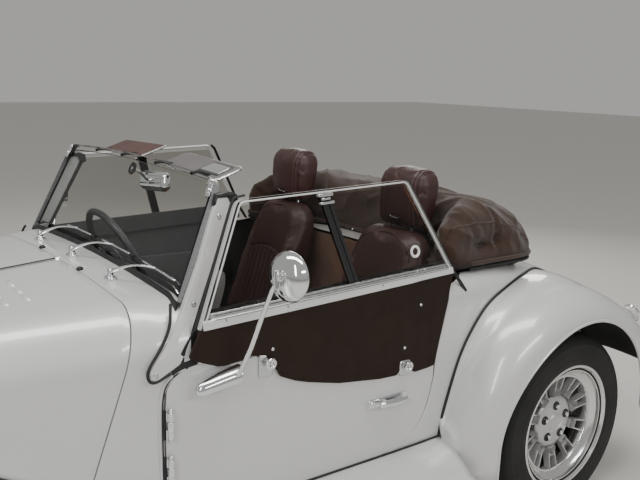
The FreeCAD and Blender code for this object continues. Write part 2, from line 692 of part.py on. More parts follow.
def build_body():
    outer = body_solid()
    inner = body_solid(inset=WALL, foot=SILL_Z - 40)
    lid_inner = body_solid(inset=LID_THICKNESS, foot=SILL_Z - 40)
    door_inner = body_solid(inset=DOOR_THICKNESS, foot=SILL_Z - 40)
    ahead = seam_block(2, True)
    behind = seam_block(-2, False)
    # Bonnet lids meet on the centre line, where their hinge is
    lid_view = LID_EDGE + ((LID_EDGE[-1][0], 1000.0), (LID_EDGE[0][0], 1000.0))
    lids = outer.common(ahead).common(side_prism(lid_view, -800, 800)).cut(lid_inner)
    PARTS["bonnet_left"] = lids.common(box(0, 2000, 2.5, 900, 0, 1100))
    PARTS["bonnet_right"] = lids.common(box(0, 2000, -2.5, -900, 0, 1100))
    bay_front = COWL_X - 0.3
    top_edge = [(x, z - SHUT_GAP) for x, z in LID_EDGE] + [(bay_front, LID_EDGE[-1][1] - SHUT_GAP)]
    side_view = top_edge + [(bay_front, SILL_Z), (LID_EDGE[0][0], SILL_Z)]
    PARTS["engine_bay_sides"] = outer.common(ahead).common(side_prism(side_view, -800, 800)).cut(inner)
    # Door openings, a little larger than the doors
    door_hole = side_prism(DOOR_OUTLINE, -900, 900)
    hole = offset_outline(DOOR_OUTLINE, SHUT_GAP)
    hole.translate(V(0, -900, 0))
    hole = hole.extrude(V(0, 1800, 0))
    shell = outer.cut(inner).cut([hole] + door_top_cut())
    scuttle = shell.common(behind).common(box(-100, 600, -800, 800, 0, 1000))
    lining = body_solid(inset=WALL - 2, foot=FLOOR_TOP_Z)
    firewall = lining.common(box(232, 250, -700, 700, FLOOR_TOP_Z, 900))
    firewall = firewall.cut(box(200, 300, -118, 118, 0, 505))
    PARTS["scuttle"] = join([scuttle, firewall]).common(behind)
    rear = shell.common(box(-2000, -100, -800, 800, 0, 1000))
    wells = []
    pans = []
    for side in (1, -1):
        spot = V(REAR_AXLE_X, side * 545, ARCH_CENTRE_Z)
        wells.append(Part.makeCylinder(ARCH_RADIUS - 6, 400, spot, V(0, side, 0)))
        spot = V(REAR_AXLE_X, side * 533, ARCH_CENTRE_Z)
        pans.append(Part.makeCylinder(ARCH_RADIUS + 6, 400, spot, V(0, side, 0)).common(outer))
    bulkhead = lining.common(box(COCKPIT_REAR_X - 16, COCKPIT_REAR_X, -700, 700, FLOOR_TOP_Z, 900))
    bulkhead = bulkhead.cut(box(-900, -700, -60, 60, 0, 420))
    floor_space = box(-1800, -795, -700, 700, BOOT_FLOOR_Z, BOOT_FLOOR_Z + 9.7)
    boot_floor = body_solid(inset=WALL - 2).common(floor_space)
    rear = join([rear, bulkhead, boot_floor] + pans).cut(wells)
    for side in (1, -1):
        rear = rear.cut(box(-900, -780, side * (RAIL_INNER_Y - 1), side * (RAIL_OUTER_Y + 1), 200, 452))
    rear = rear.cut(block(REAR_AXLE_X - 70, REAR_AXLE_X + 70, -900, 900, 200, 430))
    # Boot lid on the sloping tail
    lid_zone = side_prism(((-1275, 1000), (-1275, 700), (-1760, 400), (-1900, 600), (-1900, 1000)),
                          -330, 330)
    lid_gap = side_prism(((-1271, 1000), (-1271, 697), (-1764, 396), (-1905, 600), (-1905, 1000)),
                         -334, 334)
    PARTS["boot_lid"] = rear.common(lid_zone)
    PARTS["rear_body"] = rear.cut(lid_gap)
    doors = outer.cut(door_inner).common(door_hole)
    for side, name in ((1, "left"), (-1, "right")):
        door = doors.common(box(-900, 400, side * 100, side * 900, 0, 1000))
        PARTS["door_%s" % name] = door
    # Floor with sills and the tunnel over the gearbox
    floor = box(-755, 255, -560, 560, FLOOR_TOP_Z - FLOOR_THICKNESS, FLOOR_TOP_Z)
    floor = floor.cut(box(0, 700, -110, 110, 200, 500))
    floor = floor.cut(box(-900, 10, -70, 70, 200, 500))
    sills = []
    for side in (1, -1):
        sills.append(box(-640, 231.7, side * 540, side * 600, FLOOR_TOP_Z - FLOOR_THICKNESS, SILL_Z - 0.5))
    PARTS["floor"] = join([floor] + sills)
    tunnel = side_prism(TUNNEL_SIDE_VIEW, -115, 115)
    hollow = side_prism(((260, 290), (260, 488), (0, 468), (-100, 458), (-560, 458), (-800, 428),
                         (-800, 290)), -103, 103)
    PARTS["tunnel"] = tunnel.cut(hollow)
    for side, name in ((1, "left"), (-1, "right")):
        wing = wing_shell(FRONT_WING_STATIONS, FRONT_AXLE_X)
        apron = box(1700, 600, 150, 485, APRON_Z, APRON_Z + WING_SKIN)
        wing = join([wing, apron]).cut(outer).cut(box(COWL_X - 40, COWL_X + COWL_DEPTH + 20, 0, 240, 0, 900))
        wing = wing.cut([box(-800, 460, 0, 640, 0, 343), box(-800, 460, 0, 600.3, 0, SILL_Z)])
        rear_wing = wing_shell(REAR_WING_STATIONS, REAR_AXLE_X).cut(outer)
        rear_wing = rear_wing.cut(box(-1800, -600, 0, 640, 0, SILL_Z))
        if side < 0:
            wing = mirrored(wing)
            rear_wing = mirrored(rear_wing)
        PARTS["front_wing_%s" % name] = wing
        PARTS["rear_wing_%s" % name] = rear_wing
    # Radiator cowl and grille
    cowl = []
    for x, grow in ((COWL_X, 0.0), (COWL_X + COWL_DEPTH, 6.0)):
        cowl.append(body_section(x, 232 + grow, 794 + grow, 120, 30, 0, SILL_Z))
    cowl_outer = Part.makeLoft(cowl, True, True)
    cowl_inner = []
    for x in (COWL_X - 10, COWL_X + COWL_DEPTH + 10):
        cowl_inner.append(body_section(x, 205, 762, 100, 24, 0, SILL_Z + 30))
    cowl_inner = Part.makeLoft(cowl_inner, True, True)
    slats = []
    for index in range(SLAT_COUNT):
        y = (index - (SLAT_COUNT - 1) / 2) * SLAT_PITCH
        slats.append(box(COWL_X + 42, COWL_X + 58, y - 3, y + 3, SILL_Z, 850).common(cowl_outer))
    PARTS["radiator_cowl"] = join([cowl_outer.cut(cowl_inner)] + slats)
    PARTS["radiator"] = cowl_inner.common(box(COWL_X + 2, COWL_X + 40, -300, 300, 300, 900))


def build_cockpit():
    outer = body_solid()
    # Dashboard under the scuttle, with round lower edge
    space = box(96, 231.7, -DASH_HALF_WIDTH, DASH_HALF_WIDTH, 650, 900)
    dash = body_solid(inset=WALL + 0.3, foot=650).common(space)
    PARTS["dashboard"] = dash
    # Steering column and wheel for right-hand drive
    hub = at(-40, -300, 800)
    axis = V(1, 0, -0.42)
    axis.normalize()
    foot = hub + axis * 275
    column = rod(hub + axis * 18.3, foot, 18)
    PARTS["dashboard"] = dash.cut(rod(hub, foot + axis * 40, 18.3))
    PARTS["steering_column"] = column
    ring = Part.makeTorus(180, 12, hub, axis)
    boss = Part.makeCylinder(32, 30, hub - axis * 12, axis)
    spokes = []
    up = V(0.42, 0, 1)
    up.normalize()
    across = V(0, 1, 0)
    for direction in (across, across * -1, up * -1):
        spokes.append(rod(hub, hub + direction * 176, 8))
    PARTS["steering_wheel"] = join([ring, boss] + spokes)
    for side, name in ((1, "left"), (-1, "right")):
        cushion = side_prism(CUSHION_SIDE_VIEW, side * 121, side * 505)
        back = side_prism(SEAT_BACK_SIDE_VIEW, side * 125, side * 500)
        rest = side_prism(HEADREST_SIDE_VIEW, side * 185, side * 420)
        back = back.common(front_prism(SEAT_BACK_FRONT_VIEW, side))
        rest = rest.common(front_prism(HEADREST_FRONT_VIEW, side))
        PARTS["seat_%s" % name] = join([cushion, back, rest])
    half = [hood_section(*station) for station in HOOD_STATIONS]
    other_half = [hood_section(-station[0], *station[1:]) for station in reversed(HOOD_STATIONS[:-1])]
    PARTS["hood_cover"] = Part.makeLoft(half + other_half, True, True).cut(outer)


def build_screens():
    outer = body_solid()
    lean = math.degrees(math.atan2(SCREEN_FOOT_X - SCREEN_TOP_X, SCREEN_TOP_Z - SCREEN_FOOT_Z))
    height = math.hypot(SCREEN_FOOT_X - SCREEN_TOP_X, SCREEN_TOP_Z - SCREEN_FOOT_Z)
    # The screen is drawn upright, then leaned back about its lower edge
    outline = ((-545, 0), (-499, height - 26), (-470, height), (0, height + 16), (470, height),
               (499, height - 26), (545, 0))
    edge = [V(0, y, z) for y, z in outline]
    plate = Part.Face(Part.makePolygon(edge + [edge[0]])).extrude(V(22, 0, 0))
    inner_outline = ((-519, 22), (-476, height - 38), (-458, height - 22), (0, height - 6),
                     (458, height - 22), (476, height - 38), (519, 22))
    edge = [V(-5, y, z) for y, z in inner_outline]
    opening = Part.Face(Part.makePolygon(edge + [edge[0]])).extrude(V(40, 0, 0))
    frame = plate.cut(opening)
    edge = [V(8, y, z) for y, z in inner_outline]
    pane = Part.Face(Part.makePolygon(edge + [edge[0]])).extrude(V(6, 0, 0))
    for shape in (frame, pane):
        shape.rotate(V(0, 0, 0), V(0, 1, 0), -lean)
        shape.translate(at(SCREEN_FOOT_X - 2, 0, SCREEN_FOOT_Z))
    PARTS["windscreen_frame"] = frame.cut(outer)
    PARTS["windscreen_glass"] = pane
    pillars = []
    for side in (1, -1):
        bent = front_prism(PILLAR_FRONT_VIEW, side)
        pillars.append(side_prism(PILLAR_SIDE_VIEW, side * 450, side * 650).common(bent).cut(outer))
    PARTS["windscreen_pillars"] = Part.makeCompound(pillars)
    for side, name in ((1, "left"), (-1, "right")):
        bar = side_prism(SIDESCREEN_BAR, 610, 624)
        rails = side_prism(SIDESCREEN_OUTLINE, 606, 628)
        frame = join([rails.cut(side_prism(SIDESCREEN_GLASS, 560, 700)), bar])
        pane = side_prism(SIDESCREEN_GLASS, 615, 620).cut(bar)
        panel = side_prism(LOWER_PANEL_OUTLINE, 632.4, 640)
        frame.rotate(V(0, 617, 848), V(1, 0, 0), SIDESCREEN_LEAN)
        pane.rotate(V(0, 617, 848), V(1, 0, 0), SIDESCREEN_LEAN)
        panel.rotate(V(0, 636, 600), V(1, 0, 0), PANEL_LEAN)
        room = panel.copy()
        room.translate(V(0, -0.3, 0))
        panel = panel.cut(frame)
        door = PARTS["door_left"].cut([panel, room])
        if side < 0:
            frame = mirrored(frame)
            pane = mirrored(pane)
            panel = mirrored(panel)
            door = mirrored(door)
            PARTS["door_right"] = door
        PARTS["sidescreen_frame_%s" % name] = frame
        PARTS["sidescreen_glass_%s" % name] = pane
        PARTS["sidescreen_panel_%s" % name] = panel
    panel = PARTS["sidescreen_panel_left"].copy()
    panel.translate(V(0, -0.3, 0))
    PARTS["door_left"] = PARTS["door_left"].cut([panel, PARTS["sidescreen_panel_left"]])
    # Mirrors on the doors
    for side, name in ((1, "left"), (-1, "right")):
        base = rod(at(55, side * 668, 700), at(165, side * 668, 700), 14)
        arm = rod(at(66, side * 668, 706), at(20, side * 735, 925), 6)
        head = rod(at(-10, side * 750, 975), at(20, side * 750, 975), MIRROR_RADIUS)
        foot = rod(at(110, side * 590, 690), at(110, side * 668, 700), 12)
        PARTS["mirror_%s" % name] = largest(join([base, arm, head, foot]).cut(outer))
    # Three wipers
    wipers = []
    for y in (283.0, 0.0, -283.0):
        z = 929 if y == 0 else 920
        spindle = rod(at(224, y, 890), at(218, y, z + 4), 8)
        arm = rod(at(218, y, z), at(196, y + 150, 905), 4)
        blade = rod(at(196, y + 20, 903), at(186, y + 240, 903), 5)
        wipers.append(join([spindle, arm, blade]))
    PARTS["wipers"] = Part.makeCompound([largest(wiper.cut(outer)) for wiper in wipers])
    visors = []
    for y in (230.0, -230.0):
        visors.append(side_prism(((-4, 1168), (-40, 1206), (-210, 1170), (-215, 1150), (-160, 1150)),
                                 y - 165, y + 165))
    clips = [box(-8, 24, y - 25, y + 25, 1157, 1170) for y in (230.0, -230.0)]
    visors = [visor.fuse(clip).cut(PARTS["windscreen_frame"]) for visor, clip in zip(visors, clips)]
    PARTS["sun_visors"] = Part.makeCompound([largest(visor) for visor in visors])
    mirror = join([box(-26, -2, -110, 110, 1080, 1140), rod(at(-14, 0, 1110), at(24, 0, 1170), 6)])
    PARTS["interior_mirror"] = largest(mirror.cut([PARTS["windscreen_frame"], PARTS["windscreen_glass"]]))


def build_fittings():
    outer = body_solid()
    posts = []
    for side, name in ((1, "left"), (-1, "right")):
        barrels = []
        leaves = []
        for z0, z1 in HINGE_BARRELS:
            thirds = [z0 + (z1 - z0) * count / 3 for count in range(4)]
            low, z2, z3, high = [at(DOOR_HINGE_X, side * DOOR_HINGE_Y, z) for z in thirds]
            gap = V(0, 0, 0.3)
            lower = rod(low, z2 - gap, HINGE_RADIUS)
            upper = rod(z3 + gap, high, HINGE_RADIUS)
            pin = rod(low, high, HINGE_PIN_RADIUS)
            plates = [box(DOOR_HINGE_X + 6, DOOR_HINGE_X + 50, side * 590, side * 604, foot, head)
                      for foot, head in ((low.z, z2.z - gap.z), (z3.z + gap.z, high.z))]
            barrels.append(join([lower, upper, pin] + plates).cut(outer))
            knuckle = rod(z2, z3, HINGE_RADIUS).cut(rod(low, high, HINGE_PIN_RADIUS + 0.05))
            leaf = box(DOOR_HINGE_X - 50, DOOR_HINGE_X - 6, side * 596, side * 606, z2.z, z3.z)
            leaves.append(join([knuckle, leaf]).cut(outer))
        posts += barrels
        handle = [box(-470, -420, side * 625, side * 640, 512, 542),
                  box(-519, -371, side * 655, side * 667, 520, 534),
                  rod(at(-445, side * 640, 527), at(-445, side * 662, 527), 9)]
        PARTS["door_fittings_%s" % name] = Part.makeCompound([join(handle).cut(outer)] + leaves)
    # Bonnet hinge along the centre line, and two barrels for the boot lid
    line_start = at(SEAM_TOP_X + 2, 0, 899 + (290 - SEAM_TOP_X - 2) * 0.08)
    posts.append(rod(line_start, at(COWL_X - 0.3, 0, 791), 2.3))
    for y in (-250, 190):
        barrel = rod(at(BOOT_HINGE_X, y, BOOT_HINGE_Z), at(BOOT_HINGE_X, y + 60, BOOT_HINGE_Z), 5.9)
        posts.append(barrel.cut(PARTS["rear_body"]))
        room = rod(at(BOOT_HINGE_X, y - 0.5, BOOT_HINGE_Z), at(BOOT_HINGE_X, y + 60.5, BOOT_HINGE_Z), 6.3)
        PARTS["boot_lid"] = PARTS["boot_lid"].cut(room)
    PARTS["body_hinges"] = Part.makeCompound(posts)
    lamps = []
    for side in (1, -1):
        y = side * HEADLAMP_Y
        outline = [at(x, y, HEADLAMP_Z + radius) for x, radius in HEADLAMP_PROFILE]
        disc = Part.Face(Part.makePolygon(outline + [outline[0]]))
        bowl = disc.revolve(V(0, y, HEADLAMP_Z), V(1, 0, 0), 360)
        leg = rod(at(1570, y, APRON_Z + WING_SKIN + 0.3), at(1570, y, HEADLAMP_Z - 40), 16)
        lamps.append(join([bowl, leg]))
    PARTS["headlamps"] = Part.makeCompound(lamps)
    tails = []
    for side in (1, -1):
        wing = PARTS["rear_wing_left"] if side > 0 else PARTS["rear_wing_right"]
        lamp = rod(at(-1500, side * 700, 619), at(-1600, side * 700, 619), 32).cut(wing)
        tails.append(min(lamp.Solids, key=lambda solid: solid.CenterOfMass.x))
    PARTS["tail_lamps"] = Part.makeCompound(tails)
    bumper = [box(1893, 1910, -700, 700, 400, 450)]
    for side in (1, -1):
        bumper.append(box(1700, 1880, side * 305, side * 345, 290.3, 312))
        bumper.append(box(1872, 1894, side * 305, side * 345, 290.3, 445))
    PARTS["front_bumper"] = join(bumper)
    bumper = [box(-1898, -1915, -640, 640, 400, 450)]
    for side in (1, -1):
        bumper.append(box(-1780.3, -1900, side * 305, side * 345, 290, 330))
        bumper.append(box(-1880, -1900, side * 305, side * 345, 290, 440))
    PARTS["rear_bumper"] = join(bumper)
    plates = [box(1910.3, 1913, -260, 260, 300, 411), box(-1900, -1903, -260, 260, 450.3, 561)]
    for x in (1900, -1900):
        for y in (-150, 150):
            z = 355 if x > 0 else 507
            hole = rod(at(x - 50, y, z), at(x + 50, y, z), PLATE_HOLE_RADIUS)
            plates = [plate.cut(hole) for plate in plates]
    PARTS["number_plates"] = Part.makeCompound(plates)
    pipe = [rod(at(1000, 225, 185), at(-1880, 225, 185), PIPE_RADIUS),
            rod(at(-180, 225, 185), at(-640, 225, 185), SILENCER_RADIUS),
            rod(at(980, 225, 185), at(980, 225, 330), PIPE_RADIUS),
            rod(at(980, 150, 330), at(980, 225, 330), PIPE_RADIUS)]
    PARTS["exhaust"] = join(pipe).cut(PARTS["engine"])


def export():
    for name in sorted(PARTS):
        shape = PARTS[name]
        if not shape.isValid():
            print("not valid:", name)
        print(name, len(shape.Solids), "solids", round(shape.Volume / 1e6, 2), "dm3")
        shape.exportStep("parts/%s.step" % name)


def main():
    os.makedirs("parts", exist_ok=True)
    build_running_gear()
    build_chassis()
    build_body()
    build_cockpit()
    build_screens()
    build_fittings()
    export()


main()
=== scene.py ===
import json
import math

import bmesh
import bpy
from mathutils import Matrix, Vector, noise
from mathutils.bvhtree import BVHTree


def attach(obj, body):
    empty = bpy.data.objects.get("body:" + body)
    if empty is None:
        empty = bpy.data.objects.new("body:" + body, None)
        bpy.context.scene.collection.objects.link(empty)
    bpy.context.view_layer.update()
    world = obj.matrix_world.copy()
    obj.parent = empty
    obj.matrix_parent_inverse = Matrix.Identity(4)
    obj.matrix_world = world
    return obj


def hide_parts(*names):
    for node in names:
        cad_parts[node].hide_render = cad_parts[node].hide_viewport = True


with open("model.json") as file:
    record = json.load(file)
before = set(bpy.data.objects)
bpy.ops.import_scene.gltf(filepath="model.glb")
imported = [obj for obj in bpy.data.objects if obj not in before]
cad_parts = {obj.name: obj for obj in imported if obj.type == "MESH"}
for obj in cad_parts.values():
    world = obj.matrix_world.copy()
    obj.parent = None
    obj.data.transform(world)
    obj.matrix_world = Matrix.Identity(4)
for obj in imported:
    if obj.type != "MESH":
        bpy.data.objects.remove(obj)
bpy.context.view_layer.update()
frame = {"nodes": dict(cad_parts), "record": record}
nodes = frame["nodes"]
record = frame["record"]

# The camera, as it stood for the photograph
CAMERA_AT = (0.995, 2.1925, 1.438)
CAMERA_YAW = math.radians(-127.26)
CAMERA_PITCH = math.radians(-11.99)
CAMERA_ROLL = math.radians(1.54)
CAMERA_LENS = 44.23

SIDES = (("left", 1), ("right", -1))
FRONT_AXLE_X = 1.385
REAR_AXLE_X = -1.135
AXLE_Z = 0.3135
WHEEL_Y = 0.672
ARCH_RADIUS = 0.366
ARCH_Z = 0.322
SILL_Z = 0.352
APRON_Z = 0.6035
COWL_X = 1.640
BODY_END_X = -1.830
BOOT_FRONT_X = -1.272
BOOT_HALF_WIDTH = 0.332
BOOT_LOW_Z = 0.452
DOOR_FRONT_X = 0.227
DOOR_LENGTH = 0.858
DOOR_DEPTH = 0.040
HINGE_X = 0.219
HINGE_Y = 0.608
PANEL_WALL = 0.004
HALF_GAP = 0.0015
BEAD_RADIUS = 0.0055

# Cross-sections of the body. Columns: x, half width, top z, shoulder radius, crown
BODY_ROWS = (
    (1.640, 0.232, 0.791, 0.120, 0.030),
    (1.100, 0.367, 0.834, 0.126, 0.024),
    (0.600, 0.490, 0.874, 0.132, 0.018),
    (0.290, 0.578, 0.899, 0.134, 0.014),
    (0.224, 0.598, 0.903, 0.130, 0.013),
    (0.060, 0.618, 0.905, 0.120, 0.012),
    (-0.330, 0.632, 0.890, 0.090, 0.014),
    (-0.700, 0.632, 0.862, 0.066, 0.016),
    (-1.050, 0.597, 0.846, 0.070, 0.018),
    (-1.350, 0.535, 0.790, 0.090, 0.030),
    (-1.620, 0.450, 0.660, 0.110, 0.045),
    (-1.830, 0.360, 0.520, 0.090, 0.045),
)

# Cross-sections of the wings. Columns: x, inner y, outer y, top z, fall, edge radius, foot z
FRONT_WING_ROWS = (
    (1.882, 0.560, 0.740, 0.500, 0.004, 0.050, 0.400),
    (1.848, 0.512, 0.792, 0.600, 0.006, 0.090, 0.345),
    (1.760, 0.482, 0.818, 0.692, 0.010, 0.110, 0.320),
    (1.600, 0.470, 0.825, 0.762, 0.014, 0.115, 0.320),
    (1.400, 0.468, 0.825, 0.784, 0.014, 0.115, 0.320),
    (1.180, 0.466, 0.825, 0.764, 0.014, 0.115, 0.320),
    (0.950, 0.462, 0.825, 0.700, 0.014, 0.110, 0.320),
    (0.820, 0.458, 0.825, 0.649, 0.016, 0.106, 0.316),
    (0.700, 0.455, 0.825, 0.591, 0.020, 0.100, 0.310),
    (0.600, 0.460, 0.825, 0.540, 0.023, 0.094, 0.304),
    (0.500, 0.466, 0.824, 0.494, 0.026, 0.087, 0.297),
    (0.400, 0.480, 0.824, 0.452, 0.028, 0.080, 0.290),
    (0.300, 0.505, 0.823, 0.416, 0.032, 0.074, 0.282),
    (0.200, 0.530, 0.822, 0.364, 0.038, 0.060, 0.268),
    (0.120, 0.555, 0.820, 0.3545, 0.044, 0.050, 0.258),
    (0.000, 0.575, 0.818, 0.354, 0.050, 0.046, 0.250),
    (-0.150, 0.590, 0.815, 0.3535, 0.055, 0.042, 0.245),
    (-0.350, 0.600, 0.811, 0.354, 0.064, 0.034, 0.236),
    (-0.668, 0.600, 0.806, 0.354, 0.068, 0.030, 0.232),
)
REAR_WING_ROWS = (
    (-0.676, 0.600, 0.706, 0.410, 0.010, 0.060, 0.240),
    (-0.705, 0.600, 0.748, 0.495, 0.012, 0.090, 0.240),
    (-0.740, 0.600, 0.780, 0.586, 0.014, 0.110, 0.240),
    (-0.790, 0.590, 0.802, 0.663, 0.016, 0.120, 0.240),
    (-0.860, 0.580, 0.816, 0.732, 0.016, 0.122, 0.240),
    (-0.950, 0.570, 0.823, 0.772, 0.012, 0.120, 0.240),
    (-1.070, 0.560, 0.825, 0.794, 0.010, 0.116, 0.240),
    (-1.200, 0.520, 0.825, 0.792, 0.014, 0.118, 0.240),
    (-1.320, 0.490, 0.823, 0.755, 0.018, 0.124, 0.260),
    (-1.440, 0.450, 0.818, 0.696, 0.020, 0.124, 0.290),
    (-1.560, 0.410, 0.808, 0.604, 0.018, 0.114, 0.320),
    (-1.650, 0.380, 0.792, 0.505, 0.014, 0.096, 0.330),
    (-1.705, 0.360, 0.768, 0.410, 0.008, 0.050, 0.340),
)

# Lower edge of the bonnet lids. Columns: x, z
LID_EDGE = ((1.635, 0.650), (1.100, 0.672), (0.950, 0.672), (0.820, 0.645), (0.700, 0.594), (0.600, 0.543),
            (0.500, 0.500), (0.400, 0.468), (0.200, 0.466))

# Where the scuttle ends, and where the body starts again behind the door. Columns: z, x
SCUTTLE_REAR = (
    (0.960, 0.140), (0.850, 0.152), (0.745, 0.168), (0.741, 0.188), (0.724, 0.212), (0.697, 0.228),
    (0.636, 0.232), (0.445, 0.229), (0.410, 0.222), (0.380, 0.203), (0.362, 0.172), (0.353, 0.132),
    (0.340, 0.132),
)
BODY_REAR_START = ((0.960, -0.714), (0.866, -0.704), (0.640, -0.642), (0.612, -0.637), (0.554, -0.634),
                   (0.474, -0.612), (0.426, -0.586), (0.372, -0.525), (0.357, -0.440), (0.340, -0.436))

# Outline of the door in side view, from its lower front corner. Columns: x, z
DOOR_OUTLINE = (
    (0.224, 0.440), (0.226, 0.520), (0.227, 0.636), (0.223, 0.697), (0.209, 0.722), (0.188, 0.738),
    (0.146, 0.754), (0.103, 0.760), (0.046, 0.761), (-0.011, 0.755), (-0.044, 0.733), (-0.076, 0.706),
    (-0.120, 0.684), (-0.166, 0.668), (-0.267, 0.643), (-0.412, 0.623), (-0.548, 0.614), (-0.631, 0.618),
    (-0.628, 0.554), (-0.618, 0.512), (-0.606, 0.474), (-0.595, 0.448), (-0.580, 0.426), (-0.551, 0.396),
    (-0.519, 0.372), (-0.478, 0.361), (-0.434, 0.358), (-0.150, 0.358), (0.130, 0.358), (0.170, 0.366),
    (0.200, 0.383), (0.218, 0.408),
)


# Materials

def shader_of(material):
    return material.node_tree.nodes["Principled BSDF"]


def make_finish(name, colour, rough, metal=0.0, coat=0.0, specular=0.5, sheen=0.0):
    """A finish with its plain values set on the shader."""
    material = bpy.data.materials.new(name)
    material.use_nodes = True
    shader = shader_of(material)
    shader.inputs["Base Color"].default_value = (*colour, 1)
    shader.inputs["Roughness"].default_value = rough
    shader.inputs["Metallic"].default_value = metal
    shader.inputs["Coat Weight"].default_value = coat
    shader.inputs["Coat Roughness"].default_value = 0.03
    shader.inputs["Specular IOR Level"].default_value = specular
    shader.inputs["Sheen Weight"].default_value = sheen
    return material


def add_node(material, kind, **values):
    node = material.node_tree.nodes.new(kind)
    for key, value in values.items():
        if key in node.inputs:
            node.inputs[key].default_value = value
        else:
            setattr(node, key, value)
    return node


def wire(material, source, target):
    material.node_tree.links.new(source, target)


def grain(material, scale, detail=4.0, stretch=(1, 1, 1)):
    """A noise in the piece's own place, and stretched where the grain runs one way."""
    place = add_node(material, "ShaderNodeTexCoord")
    turn = add_node(material, "ShaderNodeMapping")
    turn.inputs["Scale"].default_value = stretch
    wire(material, place.outputs["Object"], turn.inputs["Vector"])
    pattern = add_node(material, "ShaderNodeTexNoise", Scale=scale, Detail=detail)
    wire(material, turn.outputs["Vector"], pattern.inputs["Vector"])
    return pattern.outputs["Fac"]


def cells(material, scale):
    """Small irregular cells, as in leather."""
    place = add_node(material, "ShaderNodeTexCoord")
    pattern = add_node(material, "ShaderNodeTexVoronoi", Scale=scale)
    wire(material, place.outputs["Object"], pattern.inputs["Vector"])
    return pattern.outputs["Distance"]


def weave(material, scale):
    """Two crossed waves, as in a plain woven cloth."""
    place = add_node(material, "ShaderNodeTexCoord")
    across = add_node(material, "ShaderNodeTexWave", Scale=scale, bands_direction="X")
    along = add_node(material, "ShaderNodeTexWave", Scale=scale, bands_direction="Y")
    both = add_node(material, "ShaderNodeMath", operation="MULTIPLY")
    wire(material, place.outputs["Object"], across.inputs["Vector"])
    wire(material, place.outputs["Object"], along.inputs["Vector"])
    wire(material, across.outputs["Fac"], both.inputs[0])
    wire(material, along.outputs["Fac"], both.inputs[1])
    return both.outputs["Value"]


def raise_by(material, height, strength, distance):
    """Turns a pattern into relief, over whatever relief is there already."""
    relief = add_node(material, "ShaderNodeBump", Strength=strength, Distance=distance)
    wire(material, height, relief.inputs["Height"])
    normal = shader_of(material).inputs["Normal"]
    if normal.is_linked:
        wire(material, normal.links[0].from_socket, relief.inputs["Normal"])
    wire(material, relief.outputs["Normal"], normal)


def vary(material, pattern, socket, low, high, start=0.3, stop=0.7):
    """Lets a pattern move a colour or a roughness between two values."""
    span = add_node(material, "ShaderNodeMapRange")
    span.inputs["From Min"].default_value = start
    span.inputs["From Max"].default_value = stop
    wire(material, pattern, span.inputs["Value"])
    target = shader_of(material).inputs[socket]
    if socket == "Base Color":
        mix = add_node(material, "ShaderNodeMix", data_type="RGBA")
        colour_inputs = [i for i in mix.inputs if i.type == "RGBA"]
        colour_inputs[0].default_value = (*low, 1)
        colour_inputs[1].default_value = (*high, 1)
        wire(material, span.outputs["Result"], mix.inputs["Factor"])
        wire(material, [o for o in mix.outputs if o.type == "RGBA"][0], target)
    else:
        span.inputs["To Min"].default_value = low
        span.inputs["To Max"].default_value = high
        wire(material, span.outputs["Result"], target)


def blotch(material, scale, low, high, detail=4.0):
    """Colour that wanders between two values."""
    vary(material, grain(material, scale, detail), "Base Color", low, high)


def dull(material, scale, low, high):
    """Gloss that wanders between two values."""
    vary(material, grain(material, scale), "Roughness", low, high)


def pit(material, scale, strength, distance):
    """A fine uneven surface."""
    raise_by(material, grain(material, scale), strength, distance)


def leather(name, dark, light, rough=0.42):
    skin = make_finish(name, dark, rough, specular=0.45)
    blotch(skin, 6.0, dark, light)
    dull(skin, 22.0, rough - 0.07, rough + 0.1)
    raise_by(skin, cells(skin, 420.0), 0.35, 0.0006)
    pit(skin, 60.0, 0.12, 0.002)
    return skin


def cloth(name, dark, light, threads=900.0):
    fabric = make_finish(name, dark, 0.85, specular=0.25, sheen=0.25)
    blotch(fabric, 9.0, dark, light)
    raise_by(fabric, weave(fabric, threads), 0.4, 0.0005)
    pit(fabric, 30.0, 0.15, 0.003)
    return fabric


def body_finishes():
    f = {}
    paint = make_finish("pearl_paint", (0.62, 0.62, 0.61), 0.34, metal=0.15, coat=1.0)
    vary(paint, grain(paint, 2600.0, 2.0), "Base Color", (0.57, 0.575, 0.58), (0.68, 0.675, 0.665), 0.35,
         0.65)
    raise_by(paint, grain(paint, 900.0, 2.0), 0.015, 0.0004)
    f["body_paint"] = paint
    pillar = make_finish("pillar_lacquer", (0.6, 0.6, 0.58), 0.3, coat=0.6)
    blotch(pillar, 1500.0, (0.57, 0.57, 0.56), (0.64, 0.64, 0.62), 2.0)
    f["pillar_paint"] = pillar
    underseal = make_finish("black_underseal", (0.012, 0.012, 0.012), 0.75)
    pit(underseal, 300.0, 0.5, 0.001)
    blotch(underseal, 12.0, (0.008, 0.008, 0.008), (0.022, 0.021, 0.02))
    f["underseal"] = underseal
    chassis = make_finish("chassis_black", (0.02, 0.02, 0.02), 0.45)
    dull(chassis, 15.0, 0.35, 0.6)
    pit(chassis, 500.0, 0.1, 0.0005)
    f["chassis_paint"] = chassis
    return f


